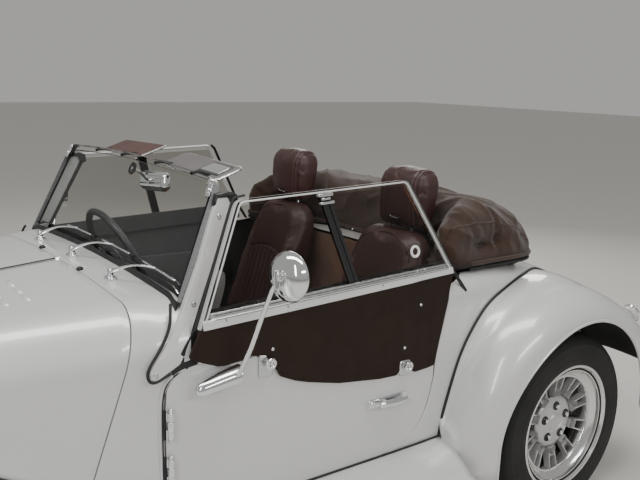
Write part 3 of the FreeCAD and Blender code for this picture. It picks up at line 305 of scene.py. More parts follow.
def metal_finishes():
    f = {}
    iron = make_finish("cast_iron", (0.1, 0.1, 0.1), 0.6, metal=0.8)
    pit(iron, 350.0, 0.4, 0.001)
    blotch(iron, 14.0, (0.07, 0.07, 0.07), (0.16, 0.15, 0.14))
    f["engine_iron"] = iron
    f["knuckle_iron"] = iron
    steel = make_finish("exhaust_steel", (0.42, 0.4, 0.38), 0.38, metal=1.0)
    blotch(steel, 18.0, (0.3, 0.27, 0.24), (0.48, 0.46, 0.44))
    dull(steel, 60.0, 0.3, 0.5)
    f["exhaust_steel"] = steel
    chrome = make_finish("chrome_plate", (0.8, 0.81, 0.82), 0.07, metal=1.0)
    dull(chrome, 25.0, 0.05, 0.12)
    f["chrome_trim"] = chrome
    grille = make_finish("grille_mesh_black", (0.015, 0.015, 0.015), 0.6)
    raise_by(grille, weave(grille, 180.0), 0.8, 0.003)
    dull(grille, 20.0, 0.5, 0.7)
    f["grille_black"] = grille
    alloy = make_finish("anodised_alloy", (0.66, 0.67, 0.67), 0.28, metal=1.0)
    vary(alloy, grain(alloy, 40.0, stretch=(1, 1, 12)), "Roughness", 0.22, 0.36)
    f["frame_alloy"] = alloy
    screen_alloy = make_finish("screen_frame_grey", (0.24, 0.245, 0.25), 0.32, metal=0.35, coat=0.4)
    vary(screen_alloy, grain(screen_alloy, 30.0, stretch=(1, 1, 8)), "Base Color", (0.21, 0.215, 0.22),
         (0.28, 0.285, 0.29))
    f["screen_alloy"] = screen_alloy
    white_alloy = make_finish("sidescreen_white", (0.7, 0.71, 0.7), 0.33, metal=0.25, coat=0.3)
    blotch(white_alloy, 700.0, (0.66, 0.67, 0.665), (0.74, 0.745, 0.74), 2.0)
    f["white_alloy"] = white_alloy
    return f


def glass_finishes():
    f = {}
    glass = make_finish("clear_glass", (0.93, 0.95, 0.94), 0.0)
    shader_of(glass).inputs["Transmission Weight"].default_value = 1.0
    shader_of(glass).inputs["IOR"].default_value = 1.12
    dull(glass, 3.0, 0.0, 0.012)
    f["clear_glass"] = glass
    tint = make_finish("tinted_pane", (0.62, 0.6, 0.58), 0.0)
    shader_of(tint).inputs["Transmission Weight"].default_value = 1.0
    shader_of(tint).inputs["IOR"].default_value = 1.2
    dull(tint, 3.0, 0.0, 0.015)
    f["tinted_pane"] = tint
    return f


def cover_finishes():
    f = {}
    f["panel_vinyl"] = leather("panel_vinyl", (0.014, 0.006, 0.003), (0.019, 0.0085, 0.0045), 0.58)
    shader_of(f["panel_vinyl"]).inputs["Specular IOR Level"].default_value = 0.25
    f["seat_leather"] = leather("seat_leather", (0.034, 0.014, 0.013), (0.052, 0.023, 0.021), 0.4)
    # A darker copy of the seat leather: painted shade on the pleated centres of the seats and on their
    # piping, so the bolsters stand lighter
    f["pleat_leather"] = leather("pleat_leather", (0.026, 0.011, 0.01), (0.04, 0.018, 0.016), 0.42)
    f["trim_leather"] = leather("tan_trim_leather", (0.22, 0.075, 0.025), (0.36, 0.14, 0.055), 0.45)
    f["visor_vinyl"] = leather("visor_vinyl", (0.06, 0.026, 0.022), (0.085, 0.04, 0.034), 0.5)
    f["visor_grey"] = leather("visor_grey", (0.105, 0.098, 0.098), (0.15, 0.14, 0.14), 0.5)
    f["hood_canvas"] = cloth("hood_canvas", (0.026, 0.0125, 0.0075), (0.043, 0.022, 0.0135))
    # A lighter copy of the hood cloth: painted highlight along the piping
    f["hood_piping"] = cloth("hood_piping", (0.045, 0.025, 0.016), (0.07, 0.04, 0.027))
    f["webbing"] = cloth("belt_webbing", (0.01, 0.01, 0.01), (0.022, 0.022, 0.022), 700.0)
    f["wheel_hide"] = leather("wheel_hide", (0.02, 0.02, 0.022), (0.036, 0.036, 0.038), 0.45)
    f["flap_grey"] = leather("flap_grey", (0.05, 0.05, 0.052), (0.072, 0.072, 0.075), 0.6)
    f["carpet_brown"] = cloth("carpet_brown", (0.1, 0.045, 0.022), (0.18, 0.085, 0.045), 500.0)
    stitch = make_finish("stitch_thread", (0.16, 0.1, 0.09), 0.7)
    raise_by(stitch, grain(stitch, 1200.0, stretch=(1, 3, 1)), 0.6, 0.0004)
    blotch(stitch, 400.0, (0.12, 0.07, 0.06), (0.2, 0.13, 0.11))
    f["stitch"] = stitch
    return f


def dark_finishes():
    f = {}
    dash = make_finish("dash_grey", (0.035, 0.035, 0.038), 0.55)
    raise_by(dash, cells(dash, 600.0), 0.3, 0.0004)
    dull(dash, 8.0, 0.48, 0.62)
    f["dash_grey"] = dash
    black = make_finish("black_rubber", (0.01, 0.01, 0.011), 0.5)
    pit(black, 500.0, 0.15, 0.0004)
    dull(black, 30.0, 0.42, 0.6)
    f["rubber"] = black
    gloss = make_finish("gloss_black", (0.008, 0.008, 0.009), 0.12, coat=0.5)
    dull(gloss, 30.0, 0.08, 0.18)
    f["gloss_black"] = gloss
    seam = make_finish("seam_grey", (0.16, 0.16, 0.15), 0.6)
    blotch(seam, 200.0, (0.13, 0.13, 0.125), (0.2, 0.2, 0.19))
    f["seam_grey"] = seam
    tyre = make_finish("tyre_rubber", (0.014, 0.014, 0.014), 0.7, specular=0.35)
    pit(tyre, 700.0, 0.2, 0.0005)
    blotch(tyre, 10.0, (0.01, 0.01, 0.01), (0.02, 0.0195, 0.019))
    f["tyre_rubber"] = tyre
    return f


def wheel_and_lamp_finishes():
    f = {}
    wheel = make_finish("silver_wheel_lacquer", (0.62, 0.62, 0.62), 0.34, metal=0.4, coat=0.5)
    blotch(wheel, 900.0, (0.44, 0.44, 0.445), (0.57, 0.57, 0.565), 2.0)
    f["wheel_alloy"] = wheel
    lip = make_finish("polished_lip", (0.74, 0.74, 0.74), 0.16, metal=1.0)
    dull(lip, 50.0, 0.12, 0.22)
    f["polished_lip"] = lip
    lens = make_finish("lamp_lens", (0.85, 0.84, 0.82), 0.08, specular=0.6)
    shader_of(lens).inputs["Transmission Weight"].default_value = 0.55
    raise_by(lens, weave(lens, 260.0), 0.4, 0.001)
    dull(lens, 25.0, 0.05, 0.12)
    f["lamp_lens"] = lens
    red = make_finish("red_lens", (0.42, 0.015, 0.012), 0.1, coat=0.5)
    raise_by(red, weave(red, 300.0), 0.4, 0.001)
    dull(red, 25.0, 0.08, 0.15)
    f["red_lens"] = red
    amber = make_finish("amber_lens", (0.75, 0.25, 0.02), 0.1, coat=0.5)
    raise_by(amber, weave(amber, 300.0), 0.4, 0.001)
    dull(amber, 25.0, 0.08, 0.15)
    f["amber_lens"] = amber
    plate = make_finish("plate_white", (0.8, 0.8, 0.78), 0.3, coat=0.3)
    pit(plate, 300.0, 0.05, 0.0005)
    blotch(plate, 20.0, (0.77, 0.77, 0.75), (0.83, 0.83, 0.81))
    f["plate_white"] = plate
    mirror = make_finish("mirror_glass", (0.88, 0.89, 0.9), 0.01, metal=1.0)
    dull(mirror, 10.0, 0.005, 0.02)
    f["mirror_glass"] = mirror
    dial = make_finish("dial_cream", (0.62, 0.6, 0.52), 0.4)
    blotch(dial, 90.0, (0.58, 0.56, 0.48), (0.66, 0.64, 0.56))
    f["dial_cream"] = dial
    return f


# Mesh tools

def grid(columns, rows, place):
    """A sheet of quads whose corners are put where place(u, v) says, for u and v from 0 to 1."""
    b = bmesh.new()
    bmesh.ops.create_grid(b, x_segments=columns, y_segments=rows, size=0.5)
    for v in b.verts:
        v.co = place(v.co.x + 0.5, v.co.y + 0.5)
    return b


def face_out(b, inside):
    """Turns all faces away from a point inside the piece."""
    bmesh.ops.recalc_face_normals(b, faces=b.faces)
    share = sum((f.calc_center_median() - Vector(inside)).dot(f.normal) * f.calc_area() for f in b.faces)
    if share < 0:
        bmesh.ops.reverse_faces(b, faces=b.faces)


def add_piece(name, b, finish, body="car_body", slot=None, inside=None, wall=0.0, inner_finish=None,
              bevel=0.0, sharp=35.0):
    """Makes a finished object of a bmesh, and lets it ride on its body."""
    bmesh.ops.remove_doubles(b, verts=b.verts, dist=1e-6)
    if inside is None:
        bmesh.ops.recalc_face_normals(b, faces=b.faces)
    else:
        face_out(b, inside)
    mesh = bpy.data.meshes.new(name)
    b.to_mesh(mesh)
    b.free()
    mesh.materials.append(finishes[finish])
    mesh.shade_smooth()
    mesh.set_sharp_from_angle(angle=math.radians(sharp))
    piece = bpy.data.objects.new(name, mesh)
    bpy.context.scene.collection.objects.link(piece)
    if wall:
        sheet = piece.modifiers.new("wall", "SOLIDIFY")
        sheet.thickness = wall
        sheet.offset = -1.0
        if inner_finish:
            mesh.materials.append(finishes[inner_finish])
            sheet.material_offset = 1
    if bevel:
        edge = piece.modifiers.new("edge", "BEVEL")
        edge.width = bevel
        edge.segments = 2
        edge.limit_method = "ANGLE"
        edge.angle_limit = math.radians(40)
    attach(piece, body)
    return piece


def both_sides(name, make, finish, body="car_body", inside=None, **rest):
    """The same piece on the left, and mirrored on the right."""
    pieces = {}
    for side, sign in SIDES:
        b = make()
        middle = inside
        if sign < 0:
            bmesh.ops.scale(b, vec=(1, -1, 1), verts=b.verts)
            if inside:
                middle = (inside[0], -inside[1], inside[2])
        pieces[side] = add_piece(name + "_" + side, b, finish, body.replace("SIDE", side), inside=middle,
                                 **rest)
    return pieces


def whole(b):
    """Adds the right half of a left half, joined on the centre line."""
    geometry = b.verts[:] + b.edges[:] + b.faces[:]
    bmesh.ops.mirror(b, geom=geometry, axis="Y", merge_dist=0.0004)
    return b


def cut(b, at, way, **rest):
    """Cuts a whole bmesh along a plane."""
    return bmesh.ops.bisect_plane(b, geom=b.verts[:] + b.edges[:] + b.faces[:], plane_co=at, plane_no=way,
                                  **rest)


def pull_out(b, faces, by):
    """Extrudes faces by a vector, and gives back the points that moved."""
    out = bmesh.ops.extrude_face_region(b, geom=faces)
    moved = [v for v in out["geom"] if isinstance(v, bmesh.types.BMVert)]
    bmesh.ops.translate(b, vec=by, verts=moved)
    return moved


def box_of(size, at):
    """A box of a size about a place."""
    b = bmesh.new()
    bmesh.ops.create_cube(b, size=1.0)
    bmesh.ops.scale(b, vec=size, verts=b.verts)
    bmesh.ops.translate(b, vec=at, verts=b.verts)
    return b


def oval(centre, first, second, count):
    """Points round an ellipse, from its centre and its two half axes."""
    turns = [math.tau * k / count for k in range(count)]
    return [centre + Vector(first) * math.cos(turn) + Vector(second) * math.sin(turn) for turn in turns]


def merge(parts):
    """Several bmeshes as one."""
    b = bmesh.new()
    for part in parts:
        mesh = bpy.data.meshes.new("part")
        part.to_mesh(mesh)
        part.free()
        b.from_mesh(mesh)
        bpy.data.meshes.remove(mesh)
    return b


def sweep(points, radius, closed=False, smooth=False, resolution=3):
    """A round bead, pipe or rod along a line of points."""
    curve = bpy.data.curves.new("line", "CURVE")
    curve.dimensions = "3D"
    curve.bevel_depth = radius
    curve.bevel_resolution = resolution
    curve.use_fill_caps = not closed
    spline = curve.splines.new("NURBS" if smooth else "POLY")
    spline.points.add(len(points) - 1)
    for spot, place in zip(spline.points, points):
        spot.co = (*place, 1)
    spline.use_cyclic_u = closed
    if smooth:
        spline.order_u = 4
        spline.use_endpoint_u = not closed
        spline.resolution_u = 6
    holder = bpy.data.objects.new("line", curve)
    mesh = bpy.data.meshes.new_from_object(holder)
    b = bmesh.new()
    b.from_mesh(mesh)
    bpy.data.objects.remove(holder)
    bpy.data.curves.remove(curve)
    bpy.data.meshes.remove(mesh)
    bmesh.ops.remove_doubles(b, verts=b.verts, dist=1e-5)
    return b


def rod(start, end, radius, end_radius=None, segments=24):
    """A straight round bar between two points."""
    start = Vector(start)
    end = Vector(end)
    b = bmesh.new()
    bmesh.ops.create_cone(b, cap_ends=True, segments=segments, radius1=radius,
                          radius2=radius if end_radius is None else end_radius, depth=(end - start).length)
    turn = (end - start).to_track_quat("Z", "Y").to_matrix().to_4x4()
    bmesh.ops.transform(b, matrix=Matrix.Translation((start + end) / 2) @ turn, verts=b.verts)
    return b


def turned(profile, centre, axis, steps=48):
    """A turned shape. The profile's points are (distance along the axis, radius)."""
    b = bmesh.new()
    spots = [b.verts.new((radius, 0, along)) for along, radius in profile]
    edges = [b.edges.new(pair) for pair in zip(spots[:-1], spots[1:])]
    bmesh.ops.spin(b, geom=spots + edges, cent=(0, 0, 0), axis=(0, 0, 1), angle=math.tau, steps=steps,
                   use_merge=True)
    bmesh.ops.remove_doubles(b, verts=b.verts, dist=1e-6)
    turn = Vector(axis).to_track_quat("Z", "Y").to_matrix().to_4x4()
    bmesh.ops.transform(b, matrix=Matrix.Translation(centre) @ turn, verts=b.verts)
    return b


def soft_outline(corners, radius, steps=5):
    """The corners of a flat outline, rounded. Each is (a, b) or (a, b, its own radius)."""
    result = []
    count = len(corners)
    for index, corner in enumerate(corners):
        here = Vector(corner[:2])
        before = Vector(corners[index - 1][:2])
        after = Vector(corners[(index + 1) % count][:2])
        own = corner[2] if len(corner) > 2 else radius
        back = (before - here).normalized()
        on = (after - here).normalized()
        half = back.angle(on, math.pi) / 2
        if own <= 0 or half > math.radians(88):
            result.append(here)
            continue
        reach = min(own / math.tan(half), (before - here).length * 0.49, (after - here).length * 0.49)
        for step in range(steps + 1):
            t = step / steps
            result.append((1 - t) ** 2 * (here + back * reach) + 2 * t * (1 - t) * here + t * t
                          * (here + on * reach))
    return result


def slab(outline, place, depth):
    """A flat piece: its outline laid by place(a, b), and pushed out by the vector depth."""
    b = bmesh.new()
    face = b.faces.new([b.verts.new(place(a, c)) for a, c in outline])
    pull_out(b, [face], depth)
    return b


def ring(outline, place, border, depth):
    """A flat frame of an outline, as wide as border."""
    b = bmesh.new()
    face = b.faces.new([b.verts.new(place(a, c)) for a, c in outline])
    bmesh.ops.inset_region(b, faces=[face], thickness=border, use_even_offset=True, use_boundary=True)
    bmesh.ops.delete(b, geom=[face], context="FACES")
    pull_out(b, b.faces[:], depth)
    return b


def at_row(rows, x):
    """The values of a table between its rows, along a smooth curve. The first column falls."""
    if x >= rows[0][0]:
        return rows[0][1:]
    if x <= rows[-1][0]:
        return rows[-1][1:]
    k = next(i for i in range(len(rows) - 1) if rows[i][0] >= x >= rows[i + 1][0])
    span = rows[k + 1][0] - rows[k][0]
    t = (x - rows[k][0]) / span
    values = []
    for column in range(1, len(rows[0])):
        slopes = []
        for i in (k, k + 1):
            low = rows[max(i - 1, 0)]
            high = rows[min(i + 1, len(rows) - 1)]
            slopes.append((high[column] - low[column]) / (high[0] - low[0]) * span)
        a = rows[k][column]
        c = rows[k + 1][column]
        values.append((2 * t ** 3 - 3 * t ** 2 + 1) * a + (t ** 3 - 2 * t ** 2 + t) * slopes[0]
                      + (3 * t ** 2 - 2 * t ** 3) * c + (t ** 3 - t ** 2) * slopes[1])
    return values


def on_line(rows, x):
    """The same, along straight lines."""
    if x >= rows[0][0]:
        return rows[0][1]
    for first, second in zip(rows[:-1], rows[1:]):
        if first[0] >= x >= second[0]:
            return second[1] + (first[1] - second[1]) * (x - second[0]) / (first[0] - second[0])
    return rows[-1][1]


# Body

def shoulder(x):
    """The body's shoulder at x: half width, top, crown and flat of the section, then the arc."""
    half, top, radius, crown = at_row(BODY_ROWS, x)
    flat = half - radius
    lean = math.atan(2 * crown / flat)
    round_radius = radius / (1 - math.sin(lean))
    middle_z = top - crown - round_radius * math.cos(lean)
    return half, top, crown, flat, half - round_radius, middle_z, round_radius, lean


def body_point(x, s, foot):
    """A point of the left body side: the crown for s to 0.4, the shoulder to 0.7, and the side to 1."""
    half, top, crown, flat, middle_y, middle_z, radius, lean = shoulder(x)
    if s < 0.4:
        y = flat * s / 0.4
        return Vector((x, y, top - crown * (y / flat) ** 2))
    if s < 0.7:
        angle = (math.pi / 2 - lean) * (0.7 - s) / 0.3
        return Vector((x, middle_y + radius * math.cos(angle), middle_z + radius * math.sin(angle)))
    return Vector((x, half, middle_z + (foot - middle_z) * (s - 0.7) / 0.3))


def body_y(x, z):
    """How wide the body is at x and z."""
    half, top, crown, flat, middle_y, middle_z, radius, lean = shoulder(x)
    if z <= middle_z:
        return half
    return middle_y + math.sqrt(max(radius ** 2 - (z - middle_z) ** 2, 0.0))


def body_top(x, y):
    """How high the body is at x and y, on its crown or shoulder."""
    half, top, crown, flat, middle_y, middle_z, radius, lean = shoulder(x)
    y = abs(y)
    if y <= flat:
        return top - crown * (y / flat) ** 2
    return middle_z + math.sqrt(max(radius ** 2 - (y - middle_y) ** 2, 0.0))


def seam_x(z):
    return 0.267 + 0.3 * (0.901 - z)


def seam_point(s, shift):
    """A point of the seam between bonnet and scuttle."""
    x = 0.27
    for _ in range(5):
        point = body_point(x, s, on_line(LID_EDGE, x))
        x = seam_x(point.z) + shift
    return body_point(x, s, on_line(LID_EDGE, x))


def make_bonnet():
    def left_lid():
        def place(u, s):
            start = seam_point(s, HALF_GAP).x
            x = start + (COWL_X - 0.004 - start) * u
            point = body_point(x, s, on_line(LID_EDGE, x))
            return Vector((point.x, max(point.y, 0.005), point.z))
        return grid(64, 44, place)

    lids = both_sides("bonnet_lid", left_lid, "body_paint", "bonnet_lid_SIDE", inside=(1.0, 0.1, 0.5),
                      wall=PANEL_WALL, inner_finish="underseal", bevel=0.0012)
    for side, sign in SIDES:
        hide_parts("bonnet_" + side)
    line = [(x, 0, body_top(x, 0) - 0.001) for x in (0.27, 0.5, 0.8, 1.1, 1.4, 1.634)]
    add_piece("bonnet_hinge_rod", sweep(line, 0.0046), "gloss_black", slot="body_paint")
    seal = [seam_point(s / 40, 0.0) for s in range(41)]
    seal = [Vector((p.x, p.y * 0.995, p.z - 0.004)) for p in seal]
    path = [Vector((p.x, -p.y, p.z)) for p in reversed(seal[1:])] + seal
    add_piece("bonnet_seam_seal", sweep(path, 0.0028), "seam_grey", slot="body_paint")

    def louvres():
        rows = []
        for y in (0.15, 0.215, 0.28):
            for index in range(20):
                x = 0.44 + 0.052 * index
                if y > at_row(BODY_ROWS, x)[0] - 0.13:
                    continue
                b = bmesh.new()
                bmesh.ops.create_uvsphere(b, u_segments=12, v_segments=6, radius=0.5)
                cut(b, (-0.05, 0, 0), (-1, 0, 0), clear_outer=True)
                bmesh.ops.scale(b, vec=(0.026, 0.054, 0.011), verts=b.verts)
                slope = math.atan2(body_top(x + 0.01, y) - body_top(x - 0.01, y), 0.02)
                roll = math.atan2(body_top(x, y + 0.01) - body_top(x, y - 0.01), 0.02)
                turn = Matrix.Rotation(roll, 4, "X") @ Matrix.Rotation(-slope, 4, "Y")
                spot = Matrix.Translation((x, y, body_top(x, y) - 0.0005))
                bmesh.ops.transform(b, matrix=spot @ turn, verts=b.verts)
                rows.append(b)
        return merge(rows)

    both_sides("bonnet_louvres", louvres, "body_paint", "bonnet_lid_SIDE", sharp=60)


def make_bay_sides():
    def side_panel():
        def place(u, v):
            z = SILL_Z + (on_line(LID_EDGE, 0.4 + 1.2 * u) - 0.004 - SILL_Z) * v
            x = seam_x(z) + 0.003 + (COWL_X - 0.002 - seam_x(z) - 0.003) * u
            z = SILL_Z + (on_line(LID_EDGE, x) - 0.004 - SILL_Z) * v
            return Vector((x, at_row(BODY_ROWS, x)[0], z))
        return grid(40, 8, place)

    panels = both_sides("engine_bay_side", side_panel, "body_paint", inside=(1.0, 0.0, 0.5),
                        wall=PANEL_WALL, inner_finish="underseal")
    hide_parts("engine_bay_sides")


def make_scuttle():
    def place(u, s):
        x = seam_point(s, -HALF_GAP).x
        if s >= 0.7:
            x = seam_x(body_point(x, s, SILL_Z).z) - HALF_GAP
        end = on_line(SCUTTLE_REAR, body_point(0.2, s, SILL_Z).z)
        return body_point(x + (end - x) * u, s, SILL_Z)

    scuttle = add_piece("scuttle_panel", whole(grid(20, 64, place)), "body_paint", inside=(0.2, 0, 0.5),
                        wall=PANEL_WALL, inner_finish="underseal", bevel=0.001)
    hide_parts("scuttle")
    wall = [(0.0, 0.306), (0.56, 0.306), (0.575, 0.352), (0.575, 0.74), (0.54, 0.82), (0.47, 0.872),
            (0.0, 0.886)]
    mirror_wall = [(-y, z) for y, z in reversed(wall[1:-1])]
    bulkhead = slab([Vector(p) for p in wall + mirror_wall], lambda y, z: Vector((0.24, y, z)), (0.01, 0, 0))
    add_piece("bulkhead", bulkhead, "underseal", slot="body_paint", bevel=0.001)


def make_doors():
    def door_panel():
        b = bmesh.new()
        b.faces.new([b.verts.new((x, 0.6, z)) for x, z in soft_outline(DOOR_OUTLINE, 0.03, 3)])
        for index in range(1, 24):
            cut(b, (DOOR_FRONT_X - DOOR_LENGTH * index / 24, 0, 0), (1, 0, 0))
        for v in b.verts:
            v.co.y = at_row(BODY_ROWS, v.co.x)[0]
        pull_out(b, b.faces[:], (0, -DOOR_DEPTH, 0))
        return b

    doors = both_sides("door_panel", door_panel, "body_paint", "side_door_SIDE", bevel=0.002, sharp=30)
    for side, sign in SIDES:
        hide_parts("door_" + side)


def make_rear_body():
    def place(u, s):
        outer = body_point(-0.7, s, SILL_Z)
        start = on_line(BODY_REAR_START, outer.z)
        if s < 0.55:
            share = min(max((0.55 - s) / 0.17, 0.0), 1.0)
            start = start + (-0.792 - start) * (1 - (1 - share) ** 2)
        x = start + (BODY_END_X - start) * u
        return body_point(x, s, SILL_Z)

    b = whole(grid(96, 60, place))
    for y in (BOOT_HALF_WIDTH, -BOOT_HALF_WIDTH):
        cut(b, (0, y, 0), (0, 1, 0))
    cut(b, (BOOT_FRONT_X, 0, 0), (1, 0, 0))
    lid_hole = []
    for face in b.faces:
        x, y, z = face.calc_center_median()
        if abs(y) < BOOT_HALF_WIDTH and x < BOOT_FRONT_X and z > BOOT_LOW_Z:
            lid_hole.append(face)
    bmesh.ops.delete(b, geom=lid_hole, context="FACES")
    body = add_piece("rear_body_panel", b, "body_paint",
                     inside=(-1.2, 0, 0.5), wall=PANEL_WALL, inner_finish="underseal", bevel=0.001)
    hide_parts("rear_body")


def make_boot_lid():
    def lid_place(u, v):
        start = BOOT_FRONT_X - 0.008
        x = start + (BODY_END_X + 0.001 - start) * u
        y = (BOOT_HALF_WIDTH - 0.003) * (2 * v - 1)
        return Vector((x, y, body_top(x, y)))

    lid = add_piece("boot_lid_panel", grid(40, 30, lid_place), "body_paint", "boot",
                    inside=(-1.5, 0, 0.3), wall=0.006, inner_finish="underseal", bevel=0.0015)
    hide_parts("boot_lid")
    tail = [(0.352, 0.35), (0.352, 0.452), (0.34, 0.47), (-0.34, 0.47), (-0.352, 0.452), (-0.352, 0.35)]
    add_piece("tail_panel", slab([Vector(p) for p in tail], lambda y, z: Vector((-1.829, y, z)),
                                 (0.004, 0, 0)), "body_paint", bevel=0.001)


def make_rear_bulkhead():
    back = [(0.0, 0.306), (0.6, 0.306), (0.606, 0.352), (0.606, 0.79), (0.575, 0.83), (0.0, 0.845)]
    outline = [Vector(p) for p in back + [(-y, z) for y, z in reversed(back[1:-1])]]
    add_piece("cockpit_rear_bulkhead", slab(outline, lambda y, z: Vector((-0.8, y, z)), (0.008, 0, 0)),
              "carpet_brown", bevel=0.001)


# Wings

def arch_height(axle_x, x):
    reach = abs(x - axle_x)
    if reach >= ARCH_RADIUS:
        return 0.0
    return ARCH_Z + math.sqrt(ARCH_RADIUS ** 2 - reach ** 2)


def wing_path(rows, axle_x, x, apron):
    """The points across a wing at x, from the body to its lower outer edge."""
    inner, outer, top, fall, radius, foot = at_row(rows, x)
    points = []
    if apron:
        low = min(APRON_Z, top - 0.012)
        side = at_row(BODY_ROWS, x)[0] - 0.006
        fillet = min(0.04, (top - low) * 0.45)
        wall_y = max(inner, side)
        start = min(side, wall_y - fillet)
        for step in range(4):
            points.append((start + (wall_y - fillet - start) * step / 4, low))
        for step in range(5):
            angle = math.pi / 2 * step / 4
            points.append((wall_y - fillet + fillet * math.sin(angle),
                           low + fillet - fillet * math.cos(angle)))
        for step in range(5):
            angle = math.pi / 2 * step / 4
            points.append((wall_y + fillet - fillet * math.cos(angle),
                           top - fillet + fillet * math.sin(angle)))
        begin = wall_y + fillet
    else:
        begin = body_y(x, top) - 0.006
    ledge = outer - radius
    begin = min(begin, ledge - 0.01)
    for step in range(1 if apron else 0, 8):
        share = step / 8
        crown = 0.006 * math.sin(math.pi * share) * (ease(x, 0.42, 0.9) if apron else 1.0)
        points.append((begin + (ledge - begin) * share, top - fall * share ** 2 + crown))
    middle_z = top - fall - radius
    lowest = max(foot, arch_height(axle_x, x))
    last = math.asin(min((lowest - middle_z) / radius, 0.96)) if lowest > middle_z else 0.0
    for step in range(13):
        angle = math.pi / 2 + (last - math.pi / 2) * step / 12
        points.append((ledge + radius * math.cos(angle), middle_z + radius * math.sin(angle)))
    end_z = points[-1][1]
    for step in range(1, 7):
        points.append((outer if last == 0.0 else points[-1][0],
                       end_z + (min(lowest, end_z) - end_z) * step / 6))
    return points


def wing_columns(rows, axle_x, before, arch, after):
    """The x of each column, closer together where the arch's edge is steep."""
    front = axle_x + ARCH_RADIUS
    rear = axle_x - ARCH_RADIUS
    columns = [rows[0][0] + (front - rows[0][0]) * i / before for i in range(before)]
    columns += [axle_x + ARCH_RADIUS * math.cos(math.pi * i / arch) for i in range(arch)]
    columns += [rear + (rows[-1][0] - rear) * i / after for i in range(after + 1)]
    return columns


def make_wing(name, rows, axle_x, apron, before, arch, after):
    columns = wing_columns(rows, axle_x, before, arch, after)
    paths = [wing_path(rows, axle_x, x, apron) for x in columns]
    nose = 5

    def place(u, v):
        i = round(u * (len(columns) - 1 + nose)) - nose
        j = round(v * (len(paths[0]) - 1))
        if i >= 0:
            return Vector((columns[i], *paths[i][j]))
        y, z = paths[0][j]
        centre_y = (paths[0][0][0] + paths[0][-1][0]) / 2
        centre_z = (paths[0][len(paths[0]) // 2][1] + paths[0][-1][1]) / 2
        angle = math.pi / 2 * -i / nose
        share = math.cos(angle)
        return Vector((columns[0] + 0.012 * math.sin(angle),
                       centre_y + (y - centre_y) * share, centre_z + (z - centre_z) * share))

    def shell():
        return grid(len(columns) - 1 + nose, len(paths[0]) - 1, place)

    middle = (axle_x, 0.68, 0.35)
    wings = both_sides(name + "_panel", shell, "body_paint", inside=middle,
                       wall=PANEL_WALL, inner_finish="underseal", sharp=70)
    for side, sign in SIDES:
        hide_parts(name + "_" + side)

    def rolled_edge():
        line = [Vector((x, path[-1][0] - 0.003, path[-1][1] + 0.002)) for x, path in zip(columns, paths)]
        return sweep(line, BEAD_RADIUS)

    both_sides(name + "_rolled_edge", rolled_edge, "body_paint")
    return columns, paths


def make_wings():
    make_wing("front_wing", FRONT_WING_ROWS, FRONT_AXLE_X, True, 12, 48, 72)
    columns, paths = make_wing("rear_wing", REAR_WING_ROWS, REAR_AXLE_X, False, 10, 48, 28)

    def rear_bead():
        line = []
        for x in [-0.676 - 0.0205 * i for i in range(50)]:
            top = at_row(REAR_WING_ROWS, x)[2]
            line.append(Vector((x, body_y(x, top) + 0.003, top + 0.002)))
        return sweep([Vector((-0.67, 0.634, 0.357))] + line, BEAD_RADIUS, smooth=True)

    both_sides("rear_wing_beading", rear_bead, "rubber")

    def front_bead():
        line = []
        for x in [0.78 - 0.05 * i for i in range(30)]:
            inner, outer, top, fall, radius, foot = at_row(FRONT_WING_ROWS, x)
            line.append(Vector((x, body_y(x, top) + 0.002, top + 0.001)))
        return sweep(line, 0.0035, smooth=True)

    both_sides("front_wing_beading", front_bead, "rubber")


# Wheels

RIM_PROFILE = (
    (0.095, 0.212), (0.0985, 0.213), (0.1, 0.2095), (0.099, 0.205), (0.0935, 0.201), (0.083, 0.194),
    (0.073, 0.185), (0.066, 0.176), (0.0625, 0.169), (0.0645, 0.167), (0.0645, 0.162), (0.061, 0.16),
    (0.028, 0.16), (0.018, 0.174), (-0.06, 0.176), (-0.084, 0.18), (-0.093, 0.199), (-0.099, 0.21),
    (-0.095, 0.212), (-0.09, 0.19), (-0.06, 0.186), (0.05, 0.186), (0.088, 0.19), (0.0935, 0.207),
    (0.095, 0.212),
)
HUB_PROFILE = (
    (0.008, 0.02), (0.008, 0.074), (0.024, 0.086), (0.036, 0.0905), (0.04, 0.089), (0.044, 0.082),
    (0.047, 0.076), (0.0492, 0.04), (0.05, 0.0345), (0.052, 0.033), (0.0545, 0.03), (0.0575, 0.025),
    (0.0592, 0.015), (0.0596, 0.0),
)
# One spoke fin, by its radius and its place along the axle
FIN_OUTLINE = ((0.112, 0.0505), (0.12, 0.0515), (0.163, 0.061), (0.163, 0.038), (0.128, 0.026),
               (0.112, 0.026))
FIN_WALL = 0.004
DISC_PROFILE = (
    (-0.012, 0.03), (-0.012, 0.139), (-0.01, 0.14), (-0.0015, 0.14), (-0.0015, 0.135), (0.0, 0.135),
    (0.0, 0.14), (0.006, 0.14), (0.0077, 0.139), (0.0077, 0.078), (0.0077, 0.03),
)
TREAD_STEPS = 150
TREAD_DEPTH = 0.006
NUT_CIRCLE = 0.057
TYRE_PROFILE = (
    (0.09, 0.193), (0.0935, 0.207), (0.0975, 0.214), (0.1, 0.223), (0.1008, 0.228), (0.1016, 0.23),
    (0.1012, 0.233), (0.1025, 0.25), (0.1018, 0.268), (0.1, 0.279), (0.1005, 0.282), (0.0985, 0.285),
    (0.095, 0.292), (0.089, 0.299), (0.08, 0.3055), (0.07, 0.3098), (0.06, 0.3118), (0.048, 0.3128),
    (0.04, 0.3131), (0.039, 0.3065), (0.033, 0.3065), (0.032, 0.3133), (0.017, 0.3135), (0.016, 0.3065),
    (0.01, 0.3065), (0.009, 0.3135), (0.0, 0.3135),
)


